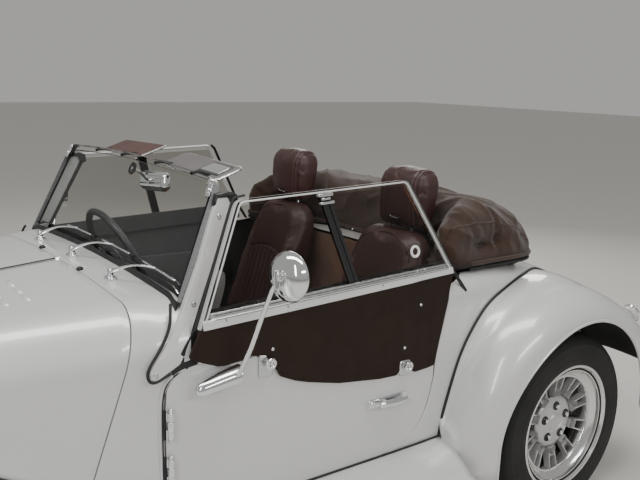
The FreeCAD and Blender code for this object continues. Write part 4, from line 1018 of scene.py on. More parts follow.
def wheel_parts():
    """The pieces of one left wheel about the origin, its outer side towards +Y."""
    axis = (0, 1, 0)
    parts = {"rim": turned(RIM_PROFILE, (0, 0, 0), axis, 96)}
    spokes = []
    for index in range(10):
        cup = box_of((0.032, 0.022, 0.031), (0.1075, 0.0395, 0))
        front = max(cup.faces, key=lambda f: f.calc_center_median().y)
        bmesh.ops.inset_region(cup, faces=[front], thickness=0.0032)
        bmesh.ops.translate(cup, vec=(0, -0.017, 0), verts=front.verts)
        turn = Matrix.Rotation(math.tau * (index + 0.5) / 10, 3, "Y")
        bmesh.ops.rotate(cup, cent=(0, 0, 0), matrix=turn, verts=cup.verts)
        spokes.append(cup)
        for half in (1, -1):
            fin = slab(FIN_OUTLINE, lambda r, y: Vector((r, y, -FIN_WALL / 2)), (0, 0, FIN_WALL))
            bmesh.ops.bevel(fin, geom=fin.edges[:], offset=0.0007, segments=1, profile=0.5, affect="EDGES",
                            material=-1)
            spread = Matrix.Rotation(-half * math.radians(5), 3, "Y")
            bmesh.ops.rotate(fin, cent=(FIN_OUTLINE[0][0], 0, 0), matrix=spread, verts=fin.verts)
            bmesh.ops.translate(fin, vec=(0, 0, half * 0.014), verts=fin.verts)
            bmesh.ops.rotate(fin, cent=(0, 0, 0), matrix=turn, verts=fin.verts)
            spokes.append(fin)
    parts["spokes"] = merge(spokes + [turned(HUB_PROFILE, (0, 0, 0), axis, 64)])
    # Each nut sits on a dark disc: painted shade in the nut recess of the alloy wheel
    cups = []
    nuts = []
    for index in range(5):
        angle = math.radians(90) + math.tau * index / 5
        spot = Vector((NUT_CIRCLE * math.cos(angle), 0.048, NUT_CIRCLE * math.sin(angle)))
        cups.append(turned(((0.0012, 0.0), (0.0012, 0.013), (0.0032, 0.0142), (-0.001, 0.0156)), spot, axis,
                           24))
        nuts.append(rod(spot, spot + Vector((0, 0.01, 0)), 0.0085, 0.007, 6))
    parts["shaded_pockets"] = merge(cups)
    parts["nuts"] = merge(nuts)
    profile = list(TYRE_PROFILE) + [(-a, r) for a, r in reversed(TYRE_PROFILE[:-1])]
    tyre = turned(profile, (0, 0, 0), axis, TREAD_STEPS)
    grooves = []
    for face in tyre.faces:
        centre = face.calc_center_median()
        radius = math.hypot(centre.x, centre.z)
        step = round((math.atan2(centre.z, centre.x) % math.tau) / math.tau * TREAD_STEPS - 0.5)
        if radius > 0.3088 and 0.04 < abs(centre.y) < 0.072 and step % 5 == (0 if centre.y > 0 else 2):
            grooves.append(face)
    for v in pull_out(tyre, grooves, (0, 0, 0)):
        v.co -= Vector((v.co.x, 0, v.co.z)).normalized() * TREAD_DEPTH
    bmesh.ops.delete(tyre, geom=grooves, context="FACES")
    parts["tyre"] = tyre
    parts["brake_disc"] = turned(DISC_PROFILE, (0, 0, 0), axis, 64)
    parts["valve"] = rod((0.168, 0.05, 0.0), (0.16, 0.078, 0.0), 0.004, 0.003, 10)
    return parts


def make_wheels():
    # The nut pockets take the black rubber finish: painted shade in the recesses, where the wheel is alloy
    looks = {"rim": ("polished_lip", "wheel_alloy"), "spokes": ("wheel_alloy", "wheel_alloy"),
             "shaded_pockets": ("rubber", "wheel_alloy"), "nuts": ("chrome_trim", "chrome_trim"),
             "tyre": ("tyre_rubber", "tyre_rubber"), "brake_disc": ("exhaust_steel", "exhaust_steel"),
             "valve": ("rubber", "tyre_rubber")}
    for end, x in (("front", FRONT_AXLE_X), ("rear", REAR_AXLE_X)):
        for side, sign in SIDES:
            for part, b in wheel_parts().items():
                if sign < 0:
                    bmesh.ops.scale(b, vec=(1, -1, 1), verts=b.verts)
                bmesh.ops.translate(b, vec=(x, sign * WHEEL_Y, AXLE_Z), verts=b.verts)
                corner = "%s_%s" % (end, side)
                finish, slot = looks[part]
                piece = add_piece("%s_%s" % (part, corner), b, finish, "roadwheel_" + corner, slot=slot,
                                  sharp=40)
                if part == "tyre":
                    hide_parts("tyre_" + corner)
                if part == "rim":
                    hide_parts("wheel_" + corner)


# Windscreen

# The glass stands on this foot, and leans back by SCREEN_RUN over SCREEN_RISE
SCREEN_FOOT_X = 0.15
SCREEN_FOOT_Z = 0.881
SCREEN_RUN = 0.132
SCREEN_RISE = 0.287
SCREEN_LEAN = math.atan2(SCREEN_RUN, SCREEN_RISE)
SCREEN_HEIGHT = math.hypot(SCREEN_RUN, SCREEN_RISE)

# Windscreen pillar: its side view, and how far out it stands. Columns: x, z and z, y
PILLAR_OUTLINE = (
    (0.268, 0.753), (0.266, 0.737), (0.257, 0.729), (0.244, 0.731), (0.216, 0.745), (0.186, 0.76),
    (0.149, 0.829), (0.117, 0.882), (0.006, 1.112), (0.014, 1.132), (0.046, 1.132), (0.051, 1.116),
    (0.107, 0.984), (0.164, 0.873), (0.186, 0.846), (0.204, 0.824), (0.226, 0.8), (0.25, 0.776),
)
PILLAR_OUT = ((1.144, 0.5015), (0.881, 0.548), (0.82, 0.572), (0.775, 0.588), (0.7, 0.59))
# Rubber that follows the pillar's curved leg. Columns: x, y, z
PILLAR_RUBBER = (
    (0.19, 0.556, 0.893), (0.196, 0.565, 0.881), (0.199, 0.575, 0.861), (0.211, 0.584, 0.833),
    (0.232, 0.594, 0.804), (0.26, 0.603, 0.777), (0.275, 0.604, 0.754), (0.273, 0.605, 0.734),
    (0.262, 0.605, 0.724), (0.245, 0.605, 0.727), (0.217, 0.606, 0.741),
)


def screen_point(y, height, out=0.0):
    """A point on the windscreen, by its height along the glass and how far it stands proud."""
    return Vector((SCREEN_FOOT_X - height * math.sin(SCREEN_LEAN) + out * math.cos(SCREEN_LEAN), y,
                   SCREEN_FOOT_Z + height * math.cos(SCREEN_LEAN) + out * math.sin(SCREEN_LEAN)))


def screen_foot(y):
    """How high on the screen the scuttle reaches at y."""
    return max((body_top(0.145, y) - SCREEN_FOOT_Z) / math.cos(SCREEN_LEAN) + 0.001, 0.0)


def screen_outline(grow):
    corners = [(-0.545 - grow, -grow, 0.004)]
    corners += [(-0.503 - grow, SCREEN_HEIGHT + grow, 0.052)]
    for step in range(-8, 9):
        y = 0.05 * step
        corners.append((y, SCREEN_HEIGHT + 0.016 * (1 - (y / 0.47) ** 2) + grow, 0))
    corners += [(0.503 + grow, SCREEN_HEIGHT + grow, 0.052), (0.545 + grow, -grow, 0.004)]
    for step in range(9, -10, -1):
        corners.append((0.054 * step, screen_foot(0.054 * step) - grow, 0))
    return soft_outline(corners, 0.0)


def skin(sections, closed=True):
    """A skin over cross-sections, each of as many points, and its ends filled."""
    rows = len(sections[0])
    last = len(sections) - 1
    turns = rows if closed else rows - 1

    def place(u, v):
        return sections[round(u * last)][round(v * turns) % rows]

    b = grid(last, turns, place)
    bmesh.ops.remove_doubles(b, verts=b.verts, dist=1e-6)
    if closed:
        bmesh.ops.holes_fill(b, edges=[e for e in b.edges if e.is_boundary], sides=0)
    return b


def make_windscreen():
    def front(y, height):
        return screen_point(y, height, 0.001)

    depth = Vector((math.cos(SCREEN_LEAN), 0, math.sin(SCREEN_LEAN)))
    frame_ring = ring(screen_outline(0.0), front, 0.0175, depth * 0.02)
    piece = add_piece("windscreen_surround", frame_ring, "screen_alloy", bevel=0.0055, sharp=60)
    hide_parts("windscreen_frame")
    seal = ring(screen_outline(-0.0165), lambda y, h: screen_point(y, h, 0.0065), 0.005, depth * 0.0085)
    add_piece("windscreen_rubber", seal, "rubber", bevel=0.0012)
    pane = slab(screen_outline(-0.0185), lambda y, h: screen_point(y, h, 0.0085), depth * 0.005)
    pane = add_piece("windscreen_pane", pane, "clear_glass")
    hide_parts("windscreen_glass")
    sections = []
    for step in range(61):
        y = -0.546 + 1.092 * step / 60
        foot = screen_foot(y)
        ahead = screen_point(y, foot, 0.0265)
        top = body_top(ahead.x, y)
        near = Vector((ahead.x, y, top - 0.004))
        lip = Vector((ahead.x, y, top + 0.0035))
        upper = screen_point(y, foot + 0.0035, 0.0215)
        back = screen_point(y, foot - 0.004, 0.012)
        sections.append([near, lip, (lip + upper) / 2 + Vector((0.0005, 0, 0.0005)), upper, back])
    add_piece("windscreen_foot_rubber", skin(sections), "rubber", sharp=50)
    rail = []
    for step in range(61):
        y = -0.53 + 1.06 * step / 60
        rail.append(screen_point(y, screen_foot(y) + 0.0185, 0.0205))
    add_piece("windscreen_foot_bead", sweep(rail, 0.0016), "rubber")

    def bracket():
        parts = []
        for y, below in ((0.487, 0.01), (0.493, 0.034)):
            height = SCREEN_HEIGHT - below
            parts.append(rod(screen_point(y, height, 0.02), screen_point(y, height, 0.027), 0.0068))
        corners = ((0.478, 0.002), (0.5, -0.004), (0.507, -0.05), (0.484, -0.048))
        outline = soft_outline([(y, SCREEN_HEIGHT + above) for y, above in corners], 0.008)
        parts.append(slab(outline, lambda y, h: screen_point(y, h, 0.02), depth * 0.003))
        return merge(parts)

    both_sides("windscreen_corner_bracket", bracket, "chrome_trim", bevel=0.0008)


def make_pillars():
    def pillar():
        plate = slab(soft_outline(PILLAR_OUTLINE, 0.006, 2), lambda x, z: Vector((x, 0.0, z)), (0, 0.017, 0))
        for z in (0.775, 0.8, 0.82, 0.85, 0.881, 0.92, 0.96, 1.0, 1.05, 1.1):
            cut(plate, (0, 0, z), (0, 0, 1))
        for v in plate.verts:
            v.co.y += on_line(PILLAR_OUT, v.co.z)
        return plate

    pillars = both_sides("windscreen_pillar", pillar, "pillar_paint", bevel=0.0042, sharp=50)
    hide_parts("windscreen_pillars")
    both_sides("pillar_foot_rubber", lambda: sweep([Vector(p) for p in PILLAR_RUBBER], 0.004, smooth=True),
               "rubber")

    def edge_rubber():
        line = [Vector((x, on_line(PILLAR_OUT, z) + 0.006, z)) for x, z in
                ((0.168, 0.79), (0.146, 0.829), (0.113, 0.884), (0.058, 0.998), (0.002, 1.113))]
        flat = []
        for spot in line:
            flat.append([spot + Vector(c) for c in ((0.002, -0.006, 0.001), (0.002, 0.006, 0.001),
                                                    (-0.009, 0.006, -0.004), (-0.009, -0.006, -0.004))])
        return skin(flat)

    both_sides("pillar_edge_rubber", edge_rubber, "rubber", bevel=0.0015)

    def cap():
        corners = ((0.055, 1.112), (0.046, 1.141), (0.012, 1.146), (-0.012, 1.138), (-0.016, 1.112),
                   (0.002, 1.106), (0.014, 1.131), (0.044, 1.131), (0.048, 1.11))
        return slab(soft_outline(corners, 0.003, 2), lambda x, z: Vector((x, 0.4985, z)), (0, 0.025, 0))

    both_sides("pillar_cap", cap, "gloss_black", bevel=0.002)

    def screws():
        parts = []
        for x, y, z in ((0.043, 0.527, 1.085), (0.133, 0.566, 0.884), (0.255, 0.607, 0.742)):
            at = Vector((x, on_line(PILLAR_OUT, z) + 0.0168, z))
            parts.append(turned(((0.0, 0.003), (0.0016, 0.003), (0.0016, 0.0055), (0.0004, 0.007),
                                 (0.0, 0.0078)), at, (0, 1, 0.12), 20))
        return merge(parts)

    both_sides("pillar_screws", screws, "chrome_trim")


def make_scuttle_edge():
    def along_edge(ahead, out, radius):
        line = [Vector((x + ahead, body_y(x + ahead, z) + out, z)) for z, x in SCUTTLE_REAR[2:-2]]
        return sweep(line, radius, smooth=True)

    both_sides("scuttle_edge_strip", lambda: along_edge(0.0105, 0.0005, 0.0036), "body_paint")
    both_sides("scuttle_edge_seal", lambda: along_edge(0.0035, -0.0008, 0.0022), "rubber")

    # A black slab in the corner between the pillar foot and the scuttle side: rubber, and painted shade of
    # the gap there
    def corner():
        corners = ((0.214, 0.744), (0.209, 0.728), (0.188, 0.744), (0.15, 0.751), (0.14, 0.84), (0.176, 0.8))
        return slab(soft_outline(corners, 0.004), lambda x, z: Vector((x, body_y(x, z) - 0.001, z)),
                    (0, 0.005, 0))

    both_sides("scuttle_corner_rubber_and_shade", corner, "rubber", bevel=0.001)


# Side screens

# The side screen leans in over the door from this line. Its lower panel leans in from another
SIDE_LEAN = math.radians(10.0)
SIDE_FOOT_Y = 0.617
SIDE_FOOT_Z = 0.848
PANEL_LEAN = math.radians(2.6)
PANEL_FOOT_Y = 0.6324
PANEL_FOOT_Z = 0.6
SIDE_OUTLINE = ((0.15, 0.835, 0.006), (0.018, 1.136, 0.028), (-0.542, 1.152, 0.028), (-0.709, 0.86, 0.006))
SIDE_GLASS = ((0.121, 0.868), (0.007, 1.121, 0.016), (-0.534, 1.136, 0.016), (-0.684, 0.878))
LOWER_PANEL = (
    (0.147, 0.841), (0.175, 0.79), (0.181, 0.777), (0.146, 0.759), (0.103, 0.742), (0.038, 0.745),
    (0.01, 0.75), (-0.011, 0.748), (-0.034, 0.742), (-0.058, 0.712), (-0.076, 0.678), (-0.12, 0.658),
    (-0.166, 0.643), (-0.267, 0.618), (-0.412, 0.598), (-0.477, 0.595), (-0.486, 0.606), (-0.495, 0.614),
    (-0.52, 0.606), (-0.548, 0.59), (-0.6, 0.592), (-0.628, 0.596), (-0.695, 0.853), (-0.706, 0.866),
)


def side_point(x, z, out=0.0):
    """A point of the side screen, as drawn upright and then leaned in over the door."""
    up = z - SIDE_FOOT_Z
    return Vector((x, SIDE_FOOT_Y + out * math.cos(SIDE_LEAN) - up * math.sin(SIDE_LEAN),
                   SIDE_FOOT_Z + up * math.cos(SIDE_LEAN) + out * math.sin(SIDE_LEAN)))


def panel_point(x, z, out=0.0):
    """A point of the lower panel."""
    up = z - PANEL_FOOT_Z
    return Vector((x, PANEL_FOOT_Y + out * math.cos(PANEL_LEAN) - up * math.sin(PANEL_LEAN),
                   PANEL_FOOT_Z + up * math.cos(PANEL_LEAN) + out * math.sin(PANEL_LEAN)))


def bar_between(start, end, width, low, high, place):
    """A flat bar from (x, z) to (x, z), standing out from low to high."""
    start = Vector(start)
    end = Vector(end)
    side = (end - start).normalized()
    side = Vector((-side.y, side.x)) * width / 2
    corners = [start + side, end + side, end - side, start - side]
    return slab(corners, lambda x, z: place(x, z, low), place(0, 0, high) - place(0, 0, low))


def make_side_frames():
    outward = side_point(0, 0, 1) - side_point(0, 0, 0)

    def frame_ring():
        return ring(soft_outline(SIDE_OUTLINE, 0.01), lambda x, z: side_point(x, z, -0.01), 0.0225,
                    outward * 0.02)

    frames = both_sides("sidescreen_surround", frame_ring, "white_alloy", "side_door_SIDE",
                        bevel=0.003, sharp=60)

    def ridge():
        inner = [(x + (-0.006 if x > -0.2 else 0.006), z - 0.0065, *rest) for x, z,
                 *rest in SIDE_OUTLINE[1:3]]
        line = [side_point(0.136, 0.848, 0.0102)]
        line += [side_point(p.x, p.y, 0.0102) for p in soft_outline([(0.136, 0.848, 0.0)]
                                                                    + [(x, z, 0.022) for x, z,
                                                                       *rest in inner] + [(-0.694, 0.868,
                                                                                           0.0)], 0.0, 6)]
        return sweep(line, 0.0024)

    both_sides("sidescreen_ridge", ridge, "white_alloy", "side_door_SIDE")

    def lower_rail():
        return bar_between((0.142, 0.846), (-0.7, 0.871), 0.0225, -0.0095, 0.0125, side_point)

    both_sides("sidescreen_lower_rail", lower_rail, "white_alloy", "side_door_SIDE", bevel=0.0022)

    def track():
        parts = [bar_between((0.118, 0.8655), (-0.683, 0.889), 0.0125, -0.008, 0.006, side_point),
                 bar_between((0.118, 0.8575), (-0.694, 0.8815), 0.0022, 0.0, 0.0075, side_point)]
        return merge(parts)

    both_sides("sidescreen_track", track, "frame_alloy", "side_door_SIDE", bevel=0.001)

    def track_lines():
        parts = []
        for z, out in ((0.0, 0.0062), (-0.0095, 0.0128)):
            parts.append(sweep([side_point(0.11, 0.866 + z, out), side_point(-0.68, 0.8893 + z, out)],
                               0.0008))
        return merge(parts)

    both_sides("sidescreen_track_line", track_lines, "rubber", "side_door_SIDE")

    def side_rubber():
        line = [side_point(x, z, -0.004) for x, z in ((0.158, 0.838), (0.15, 0.858), (0.03, 1.128),
                                                      (0.02, 1.142), (-0.01, 1.1455))]
        back = [side_point(x, z, -0.004) for x, z in ((-0.545, 1.152), (-0.56, 1.14), (-0.712, 0.872),
                                                      (-0.763, 0.801))]
        return merge([sweep(line, 0.0032), sweep(back, 0.0055)])

    both_sides("sidescreen_edge_rubber", side_rubber, "rubber", "side_door_SIDE")

    def middle_bar():
        parts = []
        for shift in (-0.011, 0.011):
            parts.append(bar_between((-0.248 + shift, 1.128), (-0.326 + shift, 0.888), 0.009, -0.007, 0.004,
                                     side_point))
        parts.append(bar_between((-0.248, 1.128), (-0.326, 0.888), 0.016, -0.005, 0.001, side_point))
        return merge(parts)

    both_sides("sidescreen_middle_bar", middle_bar, "gloss_black", "side_door_SIDE", bevel=0.001)

    def clip():
        parts = [bar_between((-0.225, 1.1285), (-0.272, 1.13), 0.0085, 0.0, 0.0115, side_point),
                 bar_between((-0.236, 1.118), (-0.264, 1.119), 0.006, 0.0, 0.0095, side_point),
                 bar_between((-0.23, 1.107), (-0.276, 1.1085), 0.0065, 0.0, 0.0105, side_point)]
        return merge(parts)

    both_sides("sidescreen_top_clip", clip, "chrome_trim", "side_door_SIDE", bevel=0.0012)

    def pane():
        return slab(soft_outline(SIDE_GLASS, 0.004), lambda x, z: side_point(x, z, -0.0035), outward * 0.004)

    panes = both_sides("sidescreen_pane", pane, "tinted_pane", "side_door_SIDE")

    # The eyelet is chrome, drawn in white lacquer: a painted bright reflection
    def finger_ring():
        return turned(((0.0, 0.0105), (0.0024, 0.011), (0.004, 0.013), (0.004, 0.016), (0.0024, 0.018),
                       (0.0, 0.0185)), side_point(-0.56, 0.944, 0.001), outward, 32)

    both_sides("sidescreen_finger_ring", finger_ring, "plate_white", "side_door_SIDE", slot="frame_alloy")

    def small_screws():
        parts = []
        for x, z in ((-0.42, 0.866), (-0.59, 0.8875), (-0.56, 0.8865), (-0.1, 0.856), (0.08, 0.851)):
            parts.append(turned(((0.0, 0.0036), (0.001, 0.003), (0.0013, 0.0)),
                                side_point(x, z, 0.0125 if z < 0.88 else 0.006), outward, 14))
        return merge(parts)

    both_sides("sidescreen_screws", small_screws, "chrome_trim", "side_door_SIDE")
    for side, sign in SIDES:
        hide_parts("sidescreen_frame_" + side)
        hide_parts("sidescreen_glass_" + side)


def make_lower_panels():
    panel_out = panel_point(0, 0, 1) - panel_point(0, 0, 0)

    def lower_panel():
        return slab(soft_outline(LOWER_PANEL, 0.012, 3), panel_point, panel_out * 0.007)

    panels = both_sides("sidescreen_lower_panel", lower_panel, "panel_vinyl", "side_door_SIDE",
                        bevel=0.002, sharp=50)

    def hem():
        middle = Vector((-0.26, 0.74))
        line = []
        for corner in soft_outline(LOWER_PANEL, 0.012, 2):
            inward = (middle - corner) / max((middle - corner).length, 0.1)
            line.append(panel_point(corner.x + inward.x * 0.011, corner.y + inward.y * 0.013, 0.0068))
        return sweep(line, 0.0009, closed=True, resolution=1)

    both_sides("sidescreen_panel_hem", hem, "panel_vinyl", "side_door_SIDE")

    def studs():
        parts = []
        for x, z in ((-0.505, 0.672), (-0.052, 0.756), (-0.566, 0.79)):
            parts.append(turned(((0.0, 0.005), (0.0014, 0.0048), (0.003, 0.003), (0.0036, 0.0)),
                                panel_point(x, z, 0.007), panel_out, 18))
        return merge(parts)

    both_sides("panel_studs", studs, "chrome_trim", "side_door_SIDE")

    def keepers():
        parts = []
        for x, z, w, h in ((-0.035, 0.715, 0.02, 0.032), (-0.507, 0.612, 0.02, 0.023)):
            outline = soft_outline(((x - w, z - h), (x + w, z - h), (x + w, z + h), (x - w, z + h)), 0.009)
            y = at_row(BODY_ROWS, x)[0]
            parts.append(slab(outline, lambda a, c: Vector((a, y - 0.002, c)), (0, 0.0085, 0)))
        return merge(parts)

    both_sides("panel_keeper_plates", keepers, "frame_alloy", "side_door_SIDE", bevel=0.003)

    def knobs():
        parts = []
        for x, z in ((-0.041, 0.722), (-0.507, 0.621)):
            spot = Vector((x, at_row(BODY_ROWS, x)[0] + 0.004, z))
            parts.append(turned(((0.0, 0.008), (0.008, 0.008), (0.01, 0.0135), (0.013, 0.0155),
                                 (0.0175, 0.0158), (0.0195, 0.014), (0.02, 0.01), (0.018, 0.007),
                                 (0.015, 0.006), (0.0145, 0.0)), spot, (0, 1, 0), 36))
            parts.append(box_of((0.005, 0.005, 0.0215), spot + Vector((0, 0.0175, 0))))
        return merge(parts)

    both_sides("panel_knobs", knobs, "chrome_trim", "side_door_SIDE", bevel=0.0006)
    for side, sign in SIDES:
        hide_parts("sidescreen_panel_" + side)


# Fittings on the outside

def make_mirrors():
    def foot():
        sections = []
        for x, r in ((0.1745, 0.004), (0.1725, 0.0095), (0.167, 0.0145), (0.156, 0.018), (0.14, 0.02),
                     (0.115, 0.0222), (0.09, 0.0242), (0.062, 0.0258)):
            centre = Vector((x, 0.648, 0.7 + (0.175 - x) * 0.16))
            lean = -0.32 * r if x < 0.07 else 0.0
            sections.append(oval(centre, (0, 1.05 * r, 0), (lean, 0, r), 28))
        return skin(sections)

    both_sides("mirror_foot", foot, "chrome_trim", "side_door_SIDE", bevel=0.0012, sharp=50)
    line = ((0.082, 0.66, 0.716), (0.07, 0.672, 0.728), (0.05, 0.694, 0.8), (0.034, 0.716, 0.88),
            (0.022, 0.738, 0.948), (0.016, 0.75, 0.972))

    def arm():
        sections = []
        thin = 0.0042
        for index, spot in enumerate(line):
            wide = 0.0085 - 0.0006 * index
            sections.append(oval(Vector(spot), (wide, 0, 0), (0, 0.9 * thin, -0.4 * thin), 16))
        return skin(sections)

    both_sides("mirror_arm", arm, "chrome_trim", "side_door_SIDE", sharp=60)
    aim = Vector((1.0, 0.16, 0.05)).normalized()
    centre = Vector((-0.004, 0.752, 0.976))

    def shell():
        return turned(((-0.018, 0.0545), (-0.018, 0.059), (-0.014, 0.0605), (-0.009, 0.06), (0.0, 0.0565),
                       (0.009, 0.048), (0.015, 0.036), (0.019, 0.022), (0.0205, 0.009), (0.0208, 0.0)),
                      centre, aim, 64)

    shells = both_sides("mirror_shell", shell, "chrome_trim", "side_door_SIDE", sharp=50)
    for side, sign in SIDES:
        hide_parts("mirror_" + side)

    def clamp():
        pin = centre + aim * 0.028
        fork = centre + aim * 0.03
        parts = [rod(centre + aim * 0.014, centre + aim * 0.034, 0.011, 0.009),
                 rod(pin + Vector((0, -0.016, -0.01)), pin + Vector((0, 0.016, 0.012)), 0.0062),
                 rod(fork + Vector((0, 0.004, -0.022)), fork + Vector((0, 0.0, 0.02)), 0.007, 0.006)]
        return merge(parts)

    both_sides("mirror_clamp", clamp, "chrome_trim", "side_door_SIDE", bevel=0.001)
    both_sides("mirror_glass", lambda: turned(((-0.017, 0.0), (-0.017, 0.0548)), centre, aim, 64),
               "mirror_glass", "side_door_SIDE", inside=tuple(centre))


def make_door_hinges():
    def barrels(part):
        parts = []

        def barrel(low, high, radius, leaf_y, way):
            corners = ((HINGE_X + way * 0.002, low), (HINGE_X + way * 0.01, low),
                       (HINGE_X + way * 0.01, high), (HINGE_X + way * 0.002, high))
            parts.append(rod((HINGE_X, HINGE_Y, low), (HINGE_X, HINGE_Y, high), radius))
            parts.append(slab(soft_outline(corners, 0.002), lambda a, c: Vector((a, leaf_y, c)),
                              (0, 0.0045, 0)))

        for low, high in ((0.457, 0.523), (0.577, 0.643)):
            third = (high - low) / 3
            if part == "door":
                barrel(low + third, high - third, 0.0088, 0.602, -1)
                continue
            barrel(low, low + third - 0.0004, 0.0078, 0.6, 1)
            barrel(high - third + 0.0004, high, 0.0078, 0.6, 1)
            for z in (low - 0.004, high + 0.004):
                ball = bmesh.new()
                bmesh.ops.create_uvsphere(ball, u_segments=16, v_segments=10, radius=0.0065)
                bmesh.ops.translate(ball, vec=(HINGE_X, HINGE_Y, z), verts=ball.verts)
                parts.append(ball)
        return merge(parts)

    posts = both_sides("door_hinge_posts", lambda: barrels("body"), "chrome_trim", bevel=0.0006, sharp=50)
    both_sides("door_hinge_leaves", lambda: barrels("door"), "chrome_trim", "side_door_SIDE", bevel=0.0006,
               sharp=50)
    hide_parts("body_hinges")

    def pads():
        parts = []
        for low, high in ((0.452, 0.528), (0.572, 0.648)):
            parts.append(slab(soft_outline(((0.2265, low), (0.2355, low), (0.2355, high), (0.2265, high)),
                                           0.003), lambda a, c: Vector((a, body_y(0.23, 0.6) - 0.003, c)),
                              (0, 0.006, 0)))
        return merge(parts)

    both_sides("door_hinge_rubbers", pads, "rubber", bevel=0.0008)


def make_boot_hinges():
    barrels = []
    leaves = []
    for y in (-0.25, 0.19):
        barrels.append(rod((-1.273, y, 0.8045), (-1.273, y + 0.06, 0.8045), 0.0056))
        corners = ((-1.282, y), (-1.282, y + 0.06), (-1.33, y + 0.048), (-1.33, y + 0.012))
        leaves.append(slab(soft_outline(corners, 0.006),
                           lambda a, c: Vector((a, c, body_top(a, 0.2) + 0.0005)), (0, 0, 0.0035)))
    add_piece("boot_hinge_barrels", merge(barrels), "chrome_trim", bevel=0.001)
    add_piece("boot_hinge_leaves", merge(leaves), "chrome_trim", "boot", bevel=0.001)


def make_door_handles():
    def handle():
        at = 0.6315
        parts = []
        plate = soft_outline(((-0.37, 0.5145), (-0.37, 0.5395), (-0.52, 0.5395), (-0.52, 0.5145)), 0.0124, 8)
        parts.append(slab(plate, lambda a, c: Vector((a, at, c)), (0, 0.0075, 0)))
        parts.append(turned(((0.0, 0.0118), (0.006, 0.0118), (0.009, 0.01), (0.0095, 0.006),
                             (0.008, 0.0052), (0.008, 0.0)), (-0.384, at + 0.007, 0.527), (0, 1, 0), 28))
        parts.append(rod((-0.428, at + 0.004, 0.527), (-0.428, at + 0.022, 0.527), 0.0095, 0.008))
        sections = []
        for lever_x, high, wide, z in ((-0.404, 0.003, 0.004, 0.5255), (-0.41, 0.0062, 0.0088, 0.525),
                                       (-0.43, 0.0075, 0.011, 0.524), (-0.455, 0.0078, 0.0122, 0.5215),
                                       (-0.48, 0.0074, 0.0118, 0.5205), (-0.502, 0.0066, 0.0104, 0.5215),
                                       (-0.514, 0.005, 0.008, 0.5225), (-0.519, 0.0024, 0.0036, 0.523)):
            centre = Vector((lever_x, at + 0.0235, z))
            sections.append(oval(centre, (0, 0, wide), (0, high, 0), 16))
        parts.append(skin(sections))
        return merge(parts)

    handles = both_sides("door_handle", handle, "chrome_trim", "side_door_SIDE", bevel=0.001, sharp=50)
    for side, sign in SIDES:
        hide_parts("door_fittings_" + side)


def make_wipers():
    metal = []
    blades = []
    for y in (0.283, 0.0, -0.283):
        base = Vector((0.227, y, body_top(0.227, y)))
        outline = soft_outline(((-0.03, 0.0, 0.004), (-0.004, 0.017, 0.01), (0.02, 0.013, 0.008),
                                (0.026, 0.0, 0.008), (0.02, -0.013, 0.008), (-0.004, -0.017, 0.01)), 0.008)
        metal.append(slab(outline, lambda a, c: base + Vector((c, a, -0.001)), (0, 0, 0.0055)))
        metal.append(turned(((0.0, 0.013), (0.005, 0.0125), (0.009, 0.0085), (0.015, 0.008), (0.016, 0.01),
                             (0.022, 0.0105), (0.026, 0.0085), (0.0275, 0.0)), base + Vector((0, 0, 0.002)),
                            (-0.12, 0, 1), 28))
        end = screen_point(y + 0.118, screen_foot(y + 0.118) + 0.036, 0.03)
        start = base + Vector((-0.002, 0.004, 0.02))
        sections = []
        for step in range(9):
            t = step / 8
            spot = start.lerp(end, t) + Vector((0, 0, 0.012 * math.sin(math.pi * t)))
            wide = 0.0088 - 0.005 * min(t * 2.2, 1.0)
            tall = 0.006 - 0.0034 * min(t * 2.2, 1.0)
            sections.append(oval(spot, (wide, -0.3 * wide, 0), (0, 0, tall), 12))
        metal.append(skin(sections))
        blade_line = []
        for step in range(11):
            at = y - 0.01 + 0.25 * step / 10
            blade_line.append(screen_point(at, screen_foot(at) + 0.033, 0.0165))
        blades.append(sweep(blade_line, 0.003, resolution=2))
        for first, last, lift in ((1, 4, 0.0085), (5, 9, 0.0085), (2, 7, 0.013)):
            bow = []
            for step in range(9):
                t = step / 8
                spot = blade_line[first].lerp(blade_line[last], t)
                bow.append(spot + Vector((0.82, 0, 0.57)) * (0.002 + lift * math.sin(math.pi * t)))
            metal.append(sweep(bow, 0.0024, resolution=2))
    piece = add_piece("wiper_arms", merge(metal), "chrome_trim", bevel=0.0006, sharp=50)
    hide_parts("wipers")
    add_piece("wiper_blades", merge(blades), "rubber")
    jets = []
    for y in (0.156, -0.156):
        jets.append(turned(((0.0, 0.0095), (0.0025, 0.0098), (0.006, 0.0085), (0.0085, 0.005),
                            (0.0095, 0.0)), (0.261, y, body_top(0.261, y) - 0.0005), (0.08, 0, 1), 24))
    add_piece("washer_jets", merge(jets), "rubber")
    add_piece("bonnet_hinge_tip", turned(((0.0, 0.0045), (0.01, 0.0052), (0.013, 0.003), (0.0135, 0.0)),
                                         (0.275, 0, body_top(0.272, 0) - 0.001), (-1, 0, 0.05), 20),
              "chrome_trim")


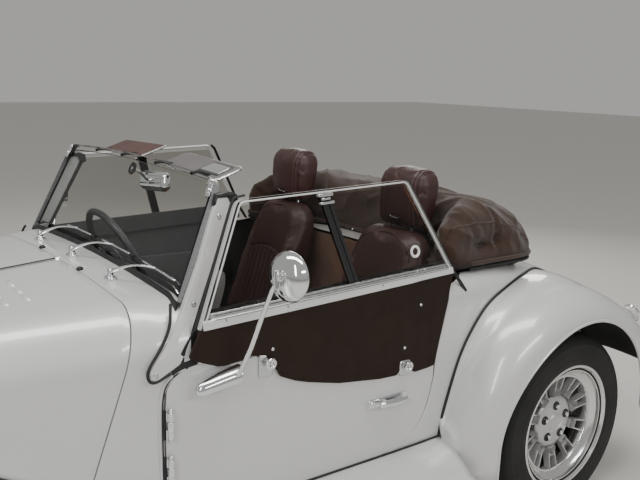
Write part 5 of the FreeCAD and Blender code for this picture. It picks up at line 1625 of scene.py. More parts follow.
def make_visors():
    for side, sign, finish in (("left", 1, "visor_grey"), ("right", -1, "visor_vinyl")):
        def place(a, c, up=0.0):
            arch = 0.014 * (1 - abs(a) / 0.395) if sign > 0 else 0.01 * (1 - abs(a) / 0.395) + 0.012
            return Vector((-0.03 - c, a, 1.148 + arch + c * 0.34 + up))

        y0, y1 = (0.072, 0.384) if sign > 0 else (-0.368, -0.076)
        outline = soft_outline(((y0, 0.0), (y1, 0.0), (y1, 0.082), (y0, 0.082)), 0.012)
        board = slab(outline, place, (0.003, 0, 0.0095))
        piece = add_piece("visor_board_" + side, board, finish, slot="visor_vinyl", bevel=0.0032, sharp=50)
        if sign > 0:
            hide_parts("sun_visors")
        rim = sweep([place(p.x, p.y, 0.0045) for p in outline], 0.0036, closed=True, resolution=2)
        add_piece("visor_edge_" + side, rim, "frame_alloy")
        stays = []
        for a in (y0 + 0.045, y1 - 0.045):
            top = screen_point(a, SCREEN_HEIGHT + 0.01 * (1 - (a / 0.47) ** 2) - 0.004, 0.002)
            stays.append(sweep([top, top + Vector((-0.018, 0, 0.004)), place(a, 0.014, 0.005)], 0.0042))
        add_piece("visor_stays_" + side, merge(stays), "rubber")
        if sign > 0:
            pane = slab(soft_outline(((0.262, 0.014), (0.37, 0.014), (0.37, 0.07), (0.262, 0.07)), 0.004),
                        place, (0.0035, 0, 0.0112))
            add_piece("visor_vanity_border", pane, "gloss_black", bevel=0.0008)
            pane = slab(soft_outline(((0.269, 0.021), (0.363, 0.021), (0.363, 0.063), (0.269, 0.063)),
                                     0.003), place, (0.0038, 0, 0.012))
            add_piece("visor_vanity_glass", pane, "mirror_glass")


def make_interior_mirror():
    pad = screen_point(0.0, (1.144 - SCREEN_FOOT_Z) / math.cos(SCREEN_LEAN), 0.006)
    out = Vector((-math.cos(SCREEN_LEAN), 0, -math.sin(SCREEN_LEAN)))
    add_piece("rear_mirror_pad", turned(((0.0, 0.019), (0.004, 0.019), (0.007, 0.015), (0.008, 0.0)), pad,
                                        out, 32), "rubber")
    centre = Vector((-0.032, 0.004, 1.104))
    aim = Vector((1.0, 0.14, 0.1)).normalized()
    across = Vector((-0.14, 1.0, 0.06)).normalized()
    up = aim.cross(across).normalized()
    add_piece("rear_mirror_stem", merge([sweep([pad, pad + out * 0.02, centre + aim * 0.014], 0.0052),
                                         rod(centre + aim * 0.01, centre + aim * 0.02, 0.009)]),
              "chrome_trim")

    def place(a, c, out_by):
        return centre + across * a + up * c + aim * out_by

    sections = []
    for out_by, grow in ((-0.01, -0.004), (-0.01, 0.0), (-0.006, 0.001), (0.0, -0.0015), (0.006, -0.007),
                         (0.0105, -0.015), (0.012, -0.023)):
        wide = 0.9 * grow
        high = 0.4 * grow
        corners = ((-0.075 - wide, -0.02 - high), (-0.055, -0.0285 - grow), (0.055, -0.0285 - grow),
                   (0.075 + wide, -0.02 - high), (0.073 + wide, 0.02 + high), (0.055, 0.0285 + grow),
                   (-0.055, 0.0285 + grow), (-0.073 - wide, 0.02 + high))
        sections.append([place(p.x, p.y, out_by) for p in soft_outline(corners, 0.016, 3)])
    piece = add_piece("rear_mirror_shell", skin(sections), "chrome_trim", sharp=40)
    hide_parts("interior_mirror")
    glass = soft_outline(((-0.071, -0.018), (-0.053, -0.025), (0.053, -0.025), (0.071, -0.018),
                          (0.069, 0.018), (0.053, 0.025), (-0.053, 0.025), (-0.069, 0.018)), 0.014)
    add_piece("rear_mirror_glass", slab(glass, lambda a, c: place(a, c, -0.0112), aim * 0.0006),
              "mirror_glass")


# Front and rear ends

# Cross-section of a bumper blade. Columns: how far out, z
BLADE_SECTION = ((-0.0095, 0.406), (0.0015, 0.402), (0.005, 0.412), (0.006, 0.425), (0.005, 0.438),
                 (0.0015, 0.448), (-0.0095, 0.444))
HEADLAMP_AT = Vector((1.65, 0.358, 0.7))
IRON_Y = 0.325
IRON_RADIUS = 0.011


def bumper_blade(middle_x, half, way):
    """A blade whose ends bend back, on the front (way 1) or the rear (way -1)."""
    sections = []
    for step in range(33):
        y = half * (step / 16 - 1)
        x = middle_x - way * 0.004 * (abs(y) / half) ** 3
        sections.append([Vector((x + way * out, y, z)) for out, z in BLADE_SECTION])
    return skin(sections)


def make_radiator():
    def cowl_loop(x, grow, z_low):
        points = []
        half, top, r, crown = 0.232 + grow, 0.794 + grow, 0.12, 0.03
        for step in range(9):
            y = (half - r) * step / 8
            points.append((y, top - crown * (y / (half - r)) ** 2))
        for step in range(1, 13):
            angle = math.pi / 2 * step / 12
            points.append((half - r + r * math.sin(angle), top - crown - r + r * math.cos(angle)))
        for step in range(1, 9):
            z = (top - crown - r) + (z_low - (top - crown - r)) * step / 8
            points.append((half - 0.03 * (step / 8) ** 2, z))
        for step in range(1, 7):
            points.append(((half - 0.03) * (1 - step / 6), z_low))
        left = [Vector((x, y, z)) for y, z in points]
        return left + [Vector((x, -p.y, p.z)) for p in reversed(left[1:-1])]

    def inner(loop, by):
        centre = Vector((loop[0].x, 0, 0.57))
        return [Vector((p.x, p.y * (1 - by / 0.23), centre.z + (p.z - centre.z) * (1 - by / 0.22)))
                for p in loop]

    outer = cowl_loop(1.64, 0.0, SILL_Z)
    front = cowl_loop(1.694, 0.006, SILL_Z)
    lip = cowl_loop(1.7, 0.004, SILL_Z + 0.002)
    sections = [outer, front, lip, inner(lip, 0.012), inner(cowl_loop(1.694, 0.0, SILL_Z), 0.024),
                inner(outer, 0.026), outer]
    last = len(sections) - 1
    count = len(outer)
    b = grid(last, count, lambda u, v: sections[round(u * last)][round(v * count) % count])
    cowl = add_piece("radiator_cowl_surround", b, "chrome_trim", slot="body_paint", sharp=50)
    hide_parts("radiator_cowl")
    slats = []
    for index in range(15):
        y = (index - 7) * 0.0265
        top = 0.755 - 0.03 * (y / 0.2) ** 2
        if abs(y) > 0.11:
            top = 0.725 - (0.1 - math.sqrt(max(0.1 ** 2 - (abs(y) - 0.11) ** 2, 0)))
        slat = slab(soft_outline(((1.672, y - 0.0024), (1.69, y - 0.003), (1.696, y), (1.69, y + 0.003),
                                  (1.672, y + 0.0024)), 0.0015, 2), lambda a, c: Vector((a, c, 0.38)),
                    (0, 0, top - 0.38))
        slats.append(slat)
    add_piece("grille_slats", merge(slats), "chrome_trim")
    core = slab(soft_outline(((-0.198, 0.384), (0.198, 0.384), (0.198, 0.68), (0.15, 0.75), (-0.15, 0.75),
                              (-0.198, 0.68)), 0.02), lambda a, c: Vector((1.646, a, c)), (0.018, 0, 0))
    core = add_piece("radiator_core", core, "grille_black", bevel=0.001)
    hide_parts("radiator")


def make_headlamps():
    bowl = ((-0.15, 0.0), (-0.148, 0.026), (-0.132, 0.056), (-0.095, 0.079), (-0.045, 0.088),
            (-0.016, 0.0895))
    rim = ((-0.018, 0.086), (-0.018, 0.09), (-0.008, 0.0905), (-0.002, 0.088), (0.0, 0.083), (-0.004, 0.08),
           (-0.01, 0.081))
    lens = ((-0.012, 0.0812), (-0.004, 0.07), (0.001, 0.05), (0.003, 0.025), (0.0035, 0.0))
    reflector = ((-0.014, 0.08), (-0.05, 0.062), (-0.08, 0.035), (-0.09, 0.014))
    leg = ((0.0, 0.028), (0.008, 0.022), (0.02, 0.017), (0.06, 0.016))
    indicator = ((-0.03, 0.022), (-0.006, 0.03), (0.004, 0.03), (0.012, 0.024), (0.017, 0.012), (0.018, 0.0))
    ahead = (1, 0, 0)
    for side, sign in SIDES:
        at = Vector((HEADLAMP_AT.x, sign * HEADLAMP_AT.y, HEADLAMP_AT.z))
        piece = add_piece("headlamp_bowl_" + side, turned(bowl, at, ahead, 64), "body_paint",
                          inside=at - Vector((0.07, 0, 0)), wall=0.002)
        if sign > 0:
            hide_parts("headlamps")
        add_piece("headlamp_rim_" + side, turned(rim, at, ahead, 64), "chrome_trim")
        add_piece("headlamp_lens_" + side, turned(lens, at, ahead), "lamp_lens",
                  inside=at - Vector((0.1, 0, 0)), wall=0.003)
        add_piece("headlamp_reflector_" + side, turned(reflector, at, ahead), "mirror_glass")
        add_piece("headlamp_leg_" + side, turned(leg, at - Vector((0.075, 0, 0.092)), (0, 0, 1), 28),
                  "body_paint")
        add_piece("front_indicator_" + side, turned(indicator, (1.8, sign * 0.655, 0.66), (1, 0, 0.25), 32),
                  "amber_lens")


def make_front_bumper():
    piece = add_piece("front_bumper_blade", bumper_blade(1.9035, 0.7, 1), "chrome_trim", sharp=50)
    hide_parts("front_bumper")
    irons = []
    for side, sign in SIDES:
        line = ((1.7, 0.3), (1.86, 0.3), (1.884, 0.33), (1.89, 0.42))
        irons.append(sweep([(x, sign * IRON_Y, z) for x, z in line], IRON_RADIUS))
    add_piece("front_bumper_irons", merge(irons), "chassis_paint")


def make_tail_lamps():
    upper = ((-0.026, 0.0), (-0.024, 0.03), (-0.004, 0.031), (0.0, 0.03), (0.01, 0.0255), (0.016, 0.015),
             (0.018, 0.0))
    upper_ring = ((-0.006, 0.03), (0.0, 0.0345), (0.004, 0.033), (0.004, 0.03))
    lower = ((-0.02, 0.0), (-0.018, 0.028), (0.0, 0.029), (0.01, 0.025), (0.015, 0.014), (0.017, 0.0))
    lower_ring = ((-0.006, 0.028), (0.0, 0.0325), (0.004, 0.031), (0.004, 0.028))
    for side, sign in SIDES:
        high = (-1.566, sign * 0.7, 0.618)
        low = (-1.634, sign * 0.7, 0.52)
        piece = add_piece("tail_lamp_" + side, turned(upper, high, (-1, 0, 0.35), 40), "lamp_lens")
        if sign > 0:
            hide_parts("tail_lamps")
        add_piece("tail_lamp_ring_" + side, turned(upper_ring, high, (-1, 0, 0.35), 40), "chrome_trim")
        add_piece("tail_lamp_low_" + side, turned(lower, low, (-1, 0, 0.22), 40), "red_lens")
        add_piece("tail_lamp_low_ring_" + side, turned(lower_ring, low, (-1, 0, 0.22), 40), "chrome_trim")


def make_rear_bumper():
    piece = add_piece("rear_bumper_blade", bumper_blade(-1.9085, 0.64, -1), "chrome_trim", sharp=50)
    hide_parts("rear_bumper")
    irons = []
    for side, sign in SIDES:
        line = ((-1.784, 0.31), (-1.87, 0.31), (-1.892, 0.34), (-1.895, 0.42))
        irons.append(sweep([(x, sign * IRON_Y, z) for x, z in line], IRON_RADIUS))
    add_piece("rear_bumper_irons", merge(irons), "chassis_paint")


def make_boot_handle():
    handle = merge([turned(((0.0, 0.016), (0.004, 0.015), (0.006, 0.0)),
                           (-1.77, 0.0, body_top(-1.77, 0) - 0.001), (-0.45, 0, 0.9), 28),
                    rod((-1.778, -0.028, body_top(-1.778, 0) + 0.012),
                        (-1.778, 0.028, body_top(-1.778, 0) + 0.012), 0.0055),
                    rod((-1.77, 0, body_top(-1.77, 0)), (-1.778, 0, body_top(-1.778, 0) + 0.012), 0.006)])
    add_piece("boot_lid_handle", handle, "chrome_trim", "boot", bevel=0.001)


# Upholstery

SEAT_Y = 0.3125
REST_Y = 0.3255
# Seat shapes before they are filled. Columns: along, near side, far side, half width, share of the bolster
BACK_ROWS = (
    (0.448, -0.574, -0.65, 0.158, 0.0), (0.47, -0.564, -0.668, 0.17, 0.4), (0.52, -0.574, -0.688, 0.173, 1.0),
    (0.62, -0.61, -0.714, 0.176, 1.0), (0.72, -0.644, -0.742, 0.178, 1.0), (0.8, -0.67, -0.76, 0.178, 0.7),
    (0.86, -0.69, -0.772, 0.174, 0.2), (0.9, -0.702, -0.78, 0.163, 0.0), (0.93, -0.714, -0.782, 0.143, 0.0),
    (0.948, -0.724, -0.78, 0.115, 0.0), (0.956, -0.736, -0.772, 0.085, 0.0),
)
CUSHION_ROWS = (
    (-0.187, 0.452, 0.345, 0.15, 0.0), (-0.196, 0.468, 0.328, 0.166, 0.3), (-0.23, 0.478, 0.322, 0.174, 0.8),
    (-0.33, 0.468, 0.32, 0.175, 1.0), (-0.44, 0.452, 0.32, 0.175, 1.0), (-0.54, 0.44, 0.32, 0.17, 0.8),
    (-0.6, 0.432, 0.325, 0.162, 0.2), (-0.622, 0.424, 0.34, 0.148, 0.0),
)
HEADREST_ROWS = (
    (0.956, -0.74, -0.803, 0.094, 0.0), (0.968, -0.735, -0.812, 0.104, 0.0),
    (1.01, -0.732, -0.826, 0.11, 0.0), (1.06, -0.731, -0.838, 0.111, 0.0),
    (1.1, -0.733, -0.844, 0.108, 0.0), (1.124, -0.741, -0.84, 0.099, 0.0),
    (1.141, -0.758, -0.828, 0.08, 0.0),
)
# The folded hood. Columns: y, front x, rear x, top z, foot z
HOOD_ROWS = (
    (0.594, -0.8, -1.05, 0.905, 0.866), (0.578, -0.74, -1.12, 0.96, 0.842),
    (0.545, -0.715, -1.162, 1.006, 0.832), (0.512, -0.748, -1.176, 1.024, 0.824),
    (0.47, -0.805, -1.178, 1.028, 0.824), (0.43, -0.85, -1.18, 1.032, 0.824),
    (0.2, -0.862, -1.18, 1.038, 0.824), (0.0, -0.864, -1.18, 1.04, 0.824),
)
HOOD_OUTLINE = (
    (1.0, 0.02), (1.0, 0.55), (0.97, 0.86), (0.86, 1.0), (0.6, 0.985), (0.35, 0.93), (0.15, 0.8),
    (0.03, 0.48), (0.0, 0.16), (0.03, 0.0), (0.5, 0.0), (0.97, 0.0),
)


def ease(value, low, high):
    t = min(max((value - low) / (high - low), 0.0), 1.0)
    return t * t * (3 - 2 * t)


def bell(value, width):
    return math.exp(-(value / width) ** 2)


def soft_loft(rows, upright, bolster=0.0, power=0.45, middle=SEAT_Y):
    """A padded shape through cross-sections, which stand above each other or behind each other."""
    sections = []
    for along, near, far, half, share in rows:
        loop = []
        for step in range(48):
            angle = math.tau * step / 48
            across = math.copysign(abs(math.sin(angle)) ** power, math.sin(angle))
            deep = math.copysign(abs(math.cos(angle)) ** power, math.cos(angle))
            out = (near + far) / 2 + (near - far) / 2 * deep
            if deep > 0:
                out += bolster * share * ease(abs(across), 0.58, 0.8)
            y = middle + half * across
            loop.append(Vector((out, y, along)) if upright else Vector((along, y, out)))
        sections.append(loop)
    return skin(sections)


def evaluated(holder):
    graph = bpy.context.evaluated_depsgraph_get()
    return bpy.data.meshes.new_from_object(holder.evaluated_get(graph))


def inflate(b, voxel, pressure, cap):
    """Fills a closed cover as padding does, and moves no point by more than cap."""
    mesh = bpy.data.meshes.new("cover")
    b.to_mesh(mesh)
    b.free()
    holder = bpy.data.objects.new("cover", mesh)
    bpy.context.scene.collection.objects.link(holder)
    voxels = holder.modifiers.new("voxels", "REMESH")
    voxels.mode = "VOXEL"
    voxels.voxel_size = voxel
    start = evaluated(holder)
    holder.modifiers.clear()
    holder.data = start
    filling = holder.modifiers.new("filling", "CLOTH")
    filling.settings.quality = 3
    filling.settings.mass = 0.3
    filling.settings.use_pressure = True
    filling.settings.uniform_pressure_force = pressure
    filling.settings.effector_weights.gravity = 0.0
    filling.point_cache.frame_start = 1
    filling.point_cache.frame_end = 20
    for number in range(1, 21):
        bpy.context.scene.frame_set(number)
    swollen = evaluated(holder)
    holder.modifiers.clear()
    for before, after in zip(start.vertices, swollen.vertices):
        move = after.co - before.co
        if move.length > cap:
            move *= cap / move.length
        before.co += move
    fine = holder.modifiers.new("fine", "SUBSURF")
    fine.levels = 1
    fine.render_levels = 1
    smooth = evaluated(holder)
    result = bmesh.new()
    result.from_mesh(smooth)
    bpy.data.objects.remove(holder)
    bpy.context.scene.frame_set(1)
    return result


def press(b, rule):
    """Moves each point along its normal by rule(point, normal), for seams and channels."""
    b.normal_update()
    moves = [(v, v.normal * rule(v.co, v.normal)) for v in b.verts]
    for v, move in moves:
        v.co += move
    return b


def girdle(b, centre, normal, lift=0.0):
    """The closed line where a plane cuts a padded shape."""
    copy = b.copy()
    out = cut(copy, centre, normal)
    spots = [e.co.copy() for e in out["geom_cut"] if isinstance(e, bmesh.types.BMVert)]
    copy.free()
    middle = sum(spots, Vector()) / len(spots)
    first = Vector(normal).orthogonal().normalized()
    second = Vector(normal).cross(first).normalized()
    spots.sort(key=lambda p: math.atan2((p - middle).dot(second), (p - middle).dot(first)))
    line = [spots[0]]
    for spot in spots[1:]:
        if (spot - line[-1]).length > 0.008:
            line.append(spot)
    return [spot + (spot - middle).normalized() * lift for spot in line]


def drop(b, points, way, lift=0.001):
    """Points laid onto a shape's surface along the direction way."""
    tree = BVHTree.FromBMesh(b)
    line = []
    for point in points:
        hit, normal, index, distance = tree.ray_cast(Vector(point) - Vector(way) * 0.5, Vector(way))
        if hit is not None:
            line.append(hit - Vector(way) * lift)
    return line


def stitches(lines, length=0.0045, gap=0.0028):
    """Rows of thread along lines on a cover."""
    parts = []
    for line in lines:
        for start, end in zip(line[:-1], line[1:]):
            run = (end - start).length
            count = max(int(run / (length + gap)), 1)
            for index in range(count):
                a = start.lerp(end, index / count)
                c = start.lerp(end, (index + 0.62) / count)
                parts.append(rod(a, c, 0.00055, segments=5))
    return merge(parts)


def back_rule(point, normal):
    """Channels of a seat back: pleats below a curved cross seam, between the bolsters."""
    dy = point.y - SEAT_Y
    if normal.x < 0.2:
        return -0.004 * bell(abs(dy) - 0.168, 0.004) if normal.x < -0.2 else 0.0
    seam = back_seam(dy)
    depth = -0.007 * bell(abs(dy) - 0.116, 0.0045) * ease(0.86 - point.z, 0.0, 0.05)
    if abs(dy) < 0.112:
        depth -= 0.007 * bell(point.z - seam, 0.005)
        if point.z < seam:
            depth -= 0.0048 * abs(math.cos(math.pi * dy / 0.028)) ** 5 * ease(seam - point.z, 0.0, 0.012)
    return depth


def back_seam(dy):
    return 0.752 + 0.028 * (1 - (dy / 0.116) ** 2)


def cushion_rule(point, normal):
    dy = point.y - SEAT_Y
    if normal.z < 0.2:
        return -0.004 * bell(point.z - 0.415, 0.005)
    depth = -0.007 * bell(abs(dy) - 0.116, 0.0045)
    if abs(dy) < 0.112:
        depth -= 0.006 * bell(point.x + 0.235, 0.005)
        if point.x < -0.24:
            depth -= 0.0048 * abs(math.cos(math.pi * dy / 0.028)) ** 5
    return depth


def headrest_rule(point, normal):
    dy = abs(point.y - REST_Y)
    return -0.0046 * bell(dy - 0.083, 0.0034) - 0.0028 * bell(dy - 0.068, 0.0026)


def seat_part(name, b, pleat_shade_mask):
    pieces = both_sides(name, b.copy, "seat_leather", sharp=180)
    for piece in pieces.values():
        piece.data.materials.append(finishes["pleat_leather"])
        # The faces that the mask picks get the darker leather: painted shade on the pleats
        for face in piece.data.polygons:
            if pleat_shade_mask(face.center, face.normal):
                face.material_index = 1
    return pieces


def make_seats():
    back = press(inflate(soft_loft(BACK_ROWS, True, 0.022), 0.0088, 4.0, 0.013), back_rule)
    pieces = seat_part("seat_back", back, lambda c, n: n.x > 0.2 and abs(abs(c.y) - SEAT_Y) < 0.115
                       and c.z < back_seam(abs(c.y) - SEAT_Y))
    for side, sign in SIDES:
        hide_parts("seat_" + side)
    cushion = press(inflate(soft_loft(CUSHION_ROWS, False, 0.02), 0.0095, 4.0, 0.013), cushion_rule)
    seat_part("seat_cushion", cushion, lambda c, n: n.z > 0.2 and abs(abs(c.y) - SEAT_Y) < 0.115
              and c.x < -0.236)
    rest = press(inflate(soft_loft(HEADREST_ROWS, True, 0.0, 0.62, REST_Y), 0.0056, 4.0, 0.012),
                 headrest_rule)
    seat_part("headrest", rest, lambda c, n: False)
    piping = []
    for dy in (-0.083, 0.083):
        piping.append(sweep(girdle(rest, (0, REST_Y + dy, 0), (0, 1, 0), 0.0008), 0.0024, closed=True,
                            resolution=1))
    # The headrest piping is in the darker leather too: painted shade
    both_sides("headrest_piping", merge(piping).copy, "pleat_leather", sharp=60)
    threads = [girdle(rest, (0, REST_Y + dy, 0), (0, 1, 0), 0.0006) for dy in (-0.076, -0.062, 0.062, 0.076)]
    ahead = (-1, 0, 0)
    for dy in (-0.11, -0.122, 0.11, 0.122):
        threads.append(drop(back, [(0, SEAT_Y + dy, 0.5 + 0.012 * k) for k in range(30)], ahead))
    for lift in (-0.006, 0.007):
        threads.append(drop(back, [(0, SEAT_Y + 0.01 * k, back_seam(0.01 * k) + lift)
                                   for k in range(-11, 12)], ahead))
    for dy in (-0.11, -0.122, 0.11, 0.122):
        threads.append(drop(cushion, [(-0.22 - 0.012 * k, SEAT_Y + dy, 0) for k in range(29)], (0, 0, -1)))
    both_sides("seat_stitching", stitches(threads).copy, "stitch")
    crest = [(0, SEAT_Y + 0.13 * math.cos(a / 12 * math.pi), 0.86 + 0.072 * math.sin(a / 12 * math.pi))
             for a in range(13)]
    # The seat back piping is in the darker leather too: painted shade
    both_sides("seat_back_piping", sweep(drop(back, crest, ahead, 0.0), 0.0024).copy, "pleat_leather")
    posts = []
    for dy in (-0.055, 0.055):
        posts.append(rod((-0.758, SEAT_Y + dy, 0.9), (-0.768, REST_Y + dy, 0.99), 0.006))
    both_sides("headrest_posts", merge(posts).copy, "chrome_trim")
    smile = [Vector((-0.72, REST_Y + 0.024 * math.cos(a), 0.99 + 0.008 * math.sin(a)))
             for a in [math.pi * (1 + k / 10) for k in range(11)]]
    both_sides("headrest_ring", sweep(drop(rest, smile, ahead, 0.001), 0.0016).copy, "chrome_trim")


def make_hood():
    def section(y):
        side = abs(y)
        front, rear, top, foot = at_row(HOOD_ROWS, side)
        corners = [(rear + (front - rear) * u, foot + (top - foot) * w) for u, w in HOOD_OUTLINE]
        return [Vector((p.x, y, p.y)) for p in soft_outline(corners, 0.03, 3)]

    rows = [0.594 * math.sin(math.pi / 2 * step / 30) for step in range(-30, 31)]
    bag = skin([section(y) for y in rows])

    def folds(point, normal):
        side = abs(point.y)
        up = ease(point.z, 0.86, 0.93)
        long_fold = noise.noise(Vector((point.x * 13 + side * 7, side * 3.0, point.z * 11)))
        soft = noise.noise(Vector((point.x * 5, point.y * 4.2, point.z * 5 + 3)))
        fine = noise.noise(Vector((point.x * 34 + side * 16, point.y * 9, point.z * 30)))
        crease = -abs(long_fold) ** 0.7 * 0.016 + soft * 0.016 + fine * 0.0035
        dent = -0.03 * bell((point.x + 0.9) / 0.075, 1) * bell((side - 0.59) / 0.05, 1)
        dent *= bell((point.z - 0.925) / 0.035, 1)
        valley = -0.01 * bell((point.x + 0.955 + 0.08 * (point.z - 0.9)) / 0.012, 1) * ease(side, 0.42, 0.52)
        return (crease + 0.004) * up + dent + valley * up

    bag = press(inflate(bag, 0.0118, 3.0, 0.012), folds)
    piece = add_piece("folded_hood", bag.copy(), "hood_canvas", sharp=180)
    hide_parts("hood_cover")
    # The piping takes the lighter cloth: painted highlight on the seams
    seam_lines = []
    for y in (-0.556, 0.556):
        seam_lines.append(sweep(girdle(bag, (0, y, 0), (0, 1, 0), 0.0006), 0.0026, closed=True,
                                resolution=1))
    add_piece("hood_piping", merge(seam_lines), "hood_piping")
    hem = sweep(girdle(bag, (0, 0, 0.868), (0, 0, 1), 0.0035), 0.0075, closed=True, resolution=2)
    add_piece("hood_hem_roll", hem, "hood_canvas")
    # A black roll under the hood's hem: rubber, and painted shade of the gap below the hem
    edge = girdle(bag, (0, 0, 0.85), (0, 0, 1), 0.004)
    add_piece("hood_edge_rubber_and_shade", sweep(edge, 0.006, closed=True), "rubber")
    fasteners = []
    for index in range(0, len(edge), max(len(edge) // 26, 1)):
        spot = edge[index]
        out = Vector((spot.x + 1.0, spot.y, 0)).normalized()
        fasteners.append(turned(((0.0, 0.006), (0.002, 0.006), (0.0036, 0.0036), (0.004, 0.0)),
                                spot + out * 0.008 + Vector((0, 0, 0.016)), out, 14))
    add_piece("hood_fasteners", merge(fasteners), "chrome_trim")


# Cockpit

STEERING_HUB = (-0.040, -0.300, 0.800)
STEERING_RADIUS = 0.180
STEERING_RAKE = 0.42
DIAL_SWEEP = 260


def make_dash():
    sections = []
    for step in range(49):
        y = -0.528 + 1.056 * step / 48
        top = min(body_top(0.12, y) - 0.024, 0.882)
        sections.append([Vector((px, y, pz)) for px, pz in ((0.231, top - 0.004), (0.18, top), (0.13, top),
                                                            (0.112, top - 0.003), (0.101, top - 0.012),
                                                            (0.097, top - 0.024), (0.101, top - 0.035),
                                                            (0.112, top - 0.043), (0.12, top - 0.052),
                                                            (0.124, 0.76), (0.132, 0.69), (0.14, 0.664),
                                                            (0.148, 0.652), (0.231, 0.652))])
    piece = add_piece("dash_panel", skin(sections), "dash_grey", sharp=50)
    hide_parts("dashboard")


def make_dials():
    rims = []
    faces = []
    marks = []
    for y, z, r in ((-0.215, 0.776, 0.047), (-0.385, 0.776, 0.047), (-0.06, 0.792, 0.027),
                    (0.01, 0.792, 0.027), (0.08, 0.792, 0.027), (-0.025, 0.726, 0.027)):
        face_x = 0.122 + (0.79 - z) * 0.08
        spot = Vector((face_x, y, z))
        rims.append(turned(((-0.004, r + 0.0035), (0.004, r + 0.0035), (0.0065, r + 0.001),
                            (0.005, r - 0.001), (0.0015, r - 0.0015)), spot, (-1, 0, 0.1), 40))
        faces.append(turned(((0.002, 0.0), (0.002, r - 0.001)), spot, (-1, 0, 0.1), 40))
        for k in range(25):
            angle = math.radians(DIAL_SWEEP * (k / 24 - 0.5))
            out = Vector((0, math.sin(angle), math.cos(angle))) * r
            start = spot + Vector((-0.0026, 0, 0))
            marks.append(rod(start + out * 0.8, start + out * 0.9, 0.0005, segments=5))
        marks.append(rod(spot + Vector((-0.003, 0, 0)), spot + Vector((-0.003, -r * 0.5, r * 0.5)), 0.0009,
                         0.0004, 6))
        marks.append(rod(spot + Vector((-0.001, 0, 0)), spot + Vector((-0.005, 0, 0)), 0.0035, segments=12))
    add_piece("dial_rims", merge(rims), "chrome_trim")
    add_piece("dial_faces", merge(faces), "dial_cream", slot="plate_white", inside=(1.0, 0, 0.78))
    add_piece("dial_marks", merge(marks), "rubber")


def make_dash_fittings():
    switches = []
    for k in range(7):
        spot = Vector((0.127, 0.04 + 0.03 * k, 0.722))
        switches.append(turned(((0.0, 0.008), (0.002, 0.008), (0.003, 0.006), (0.008, 0.005)), spot,
                               (-1, 0, 0), 16))
        switches.append(rod(spot + Vector((-0.006, 0, 0)), spot + Vector((-0.02, 0, 0.005)), 0.0022, 0.0034,
                            10))
    add_piece("dash_switches", merge(switches), "chrome_trim")
    add_piece("glove_box_lid", slab(soft_outline(((0.225, 0.7), (0.47, 0.7), (0.47, 0.8), (0.225, 0.8)),
                                                 0.02), lambda a, c: Vector((0.124 + (0.79 - c) * 0.09, a,
                                                                             c)), (-0.006, 0, 0)),
              "trim_leather", bevel=0.002)


def make_steering_wheel():
    hub = Vector(STEERING_HUB)
    axis = Vector((-1, 0, STEERING_RAKE)).normalized()
    up = axis.cross(Vector((0, -1, 0))).normalized()
    rim_line = oval(hub, (0, STEERING_RADIUS, 0), up * STEERING_RADIUS, 64)
    wheel = add_piece("steering_rim", sweep(rim_line, 0.0118, closed=True, resolution=4), "wheel_hide",
                      "steering")
    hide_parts("steering_wheel")
    spokes = []
    for degrees in (0, 180, 270):
        out = Vector((0, 1, 0)) * math.cos(math.radians(degrees)) + up * math.sin(math.radians(degrees))
        side = axis.cross(out)
        loops = []
        for t, wide, back in ((0.028, 0.022, 0.02), (0.06, 0.018, 0.018), (0.11, 0.013, 0.01),
                              (0.16, 0.011, 0.002), (0.174, 0.014, 0.0)):
            loops.append(oval(hub + out * t - axis * back, side * wide, axis * 0.0042, 14))
        spokes.append(skin(loops))
    add_piece("steering_spokes", merge(spokes), "frame_alloy", "steering")
    add_piece("steering_boss", turned(((-0.034, 0.03), (-0.024, 0.046), (-0.006, 0.048), (0.002, 0.04),
                                       (0.006, 0.022), (0.007, 0.0)), hub, axis, 48), "wheel_hide",
              "steering", sharp=50)


def make_levers():
    lever = [sweep([(-0.06, 0.0, 0.5), (-0.075, 0.0, 0.56), (-0.085, 0.0, 0.625)], 0.0055),
             turned(((-0.026, 0.0), (-0.024, 0.01), (-0.012, 0.018), (0.002, 0.02), (0.014, 0.016),
                     (0.021, 0.008), (0.022, 0.0)), (-0.088, 0, 0.64), (-0.15, 0, 1), 28)]
    add_piece("gear_lever", merge(lever), "chrome_trim")
    add_piece("gear_lever_boot", turned(((0.0, 0.06), (0.004, 0.058), (0.012, 0.048), (0.018, 0.05),
                                         (0.03, 0.036), (0.038, 0.036), (0.052, 0.022), (0.07, 0.012),
                                         (0.084, 0.009)), (-0.06, 0, 0.49), (-0.12, 0, 1), 40),
              "seat_leather", inside=(-0.06, 0, 0.49))
    brake = [sweep([(-0.3, 0.06, 0.5), (-0.22, 0.06, 0.545), (-0.15, 0.06, 0.59)], 0.0075),
             sweep([(-0.19, 0.06, 0.565), (-0.095, 0.06, 0.626)], 0.0125)]
    add_piece("handbrake_lever", merge(brake), "rubber")


def make_belts():
    def buckle():
        parts = [sweep([(-0.56, 0.118, 0.44), (-0.545, 0.119, 0.5), (-0.53, 0.119, 0.545)], 0.0065)]
        parts.append(slab(soft_outline(((-0.548, 0.535), (-0.512, 0.543), (-0.496, 0.603), (-0.532, 0.611)),
                                       0.008), lambda a, c: Vector((a, 0.11, c)), (0, 0.019, 0)))
        return merge(parts)

    both_sides("belt_buckle", buckle, "gloss_black", bevel=0.003)

    def webbing():
        line = ((-0.838, 0.535, 0.8), (-0.8, 0.527, 0.79), (-0.77, 0.517, 0.74), (-0.74, 0.512, 0.64),
                (-0.7, 0.512, 0.5), (-0.69, 0.512, 0.42))
        loops = []
        for place in line:
            spot = Vector(place)
            loops.append([spot + Vector(c) for c in ((0.022, -0.0008, 0.008), (0.022, 0.0008, 0.008),
                                                     (-0.022, 0.0008, -0.008), (-0.022, -0.0008, -0.008))])
        return skin(loops)

    both_sides("belt_webbing", webbing, "webbing", slot="grille_black", sharp=60)


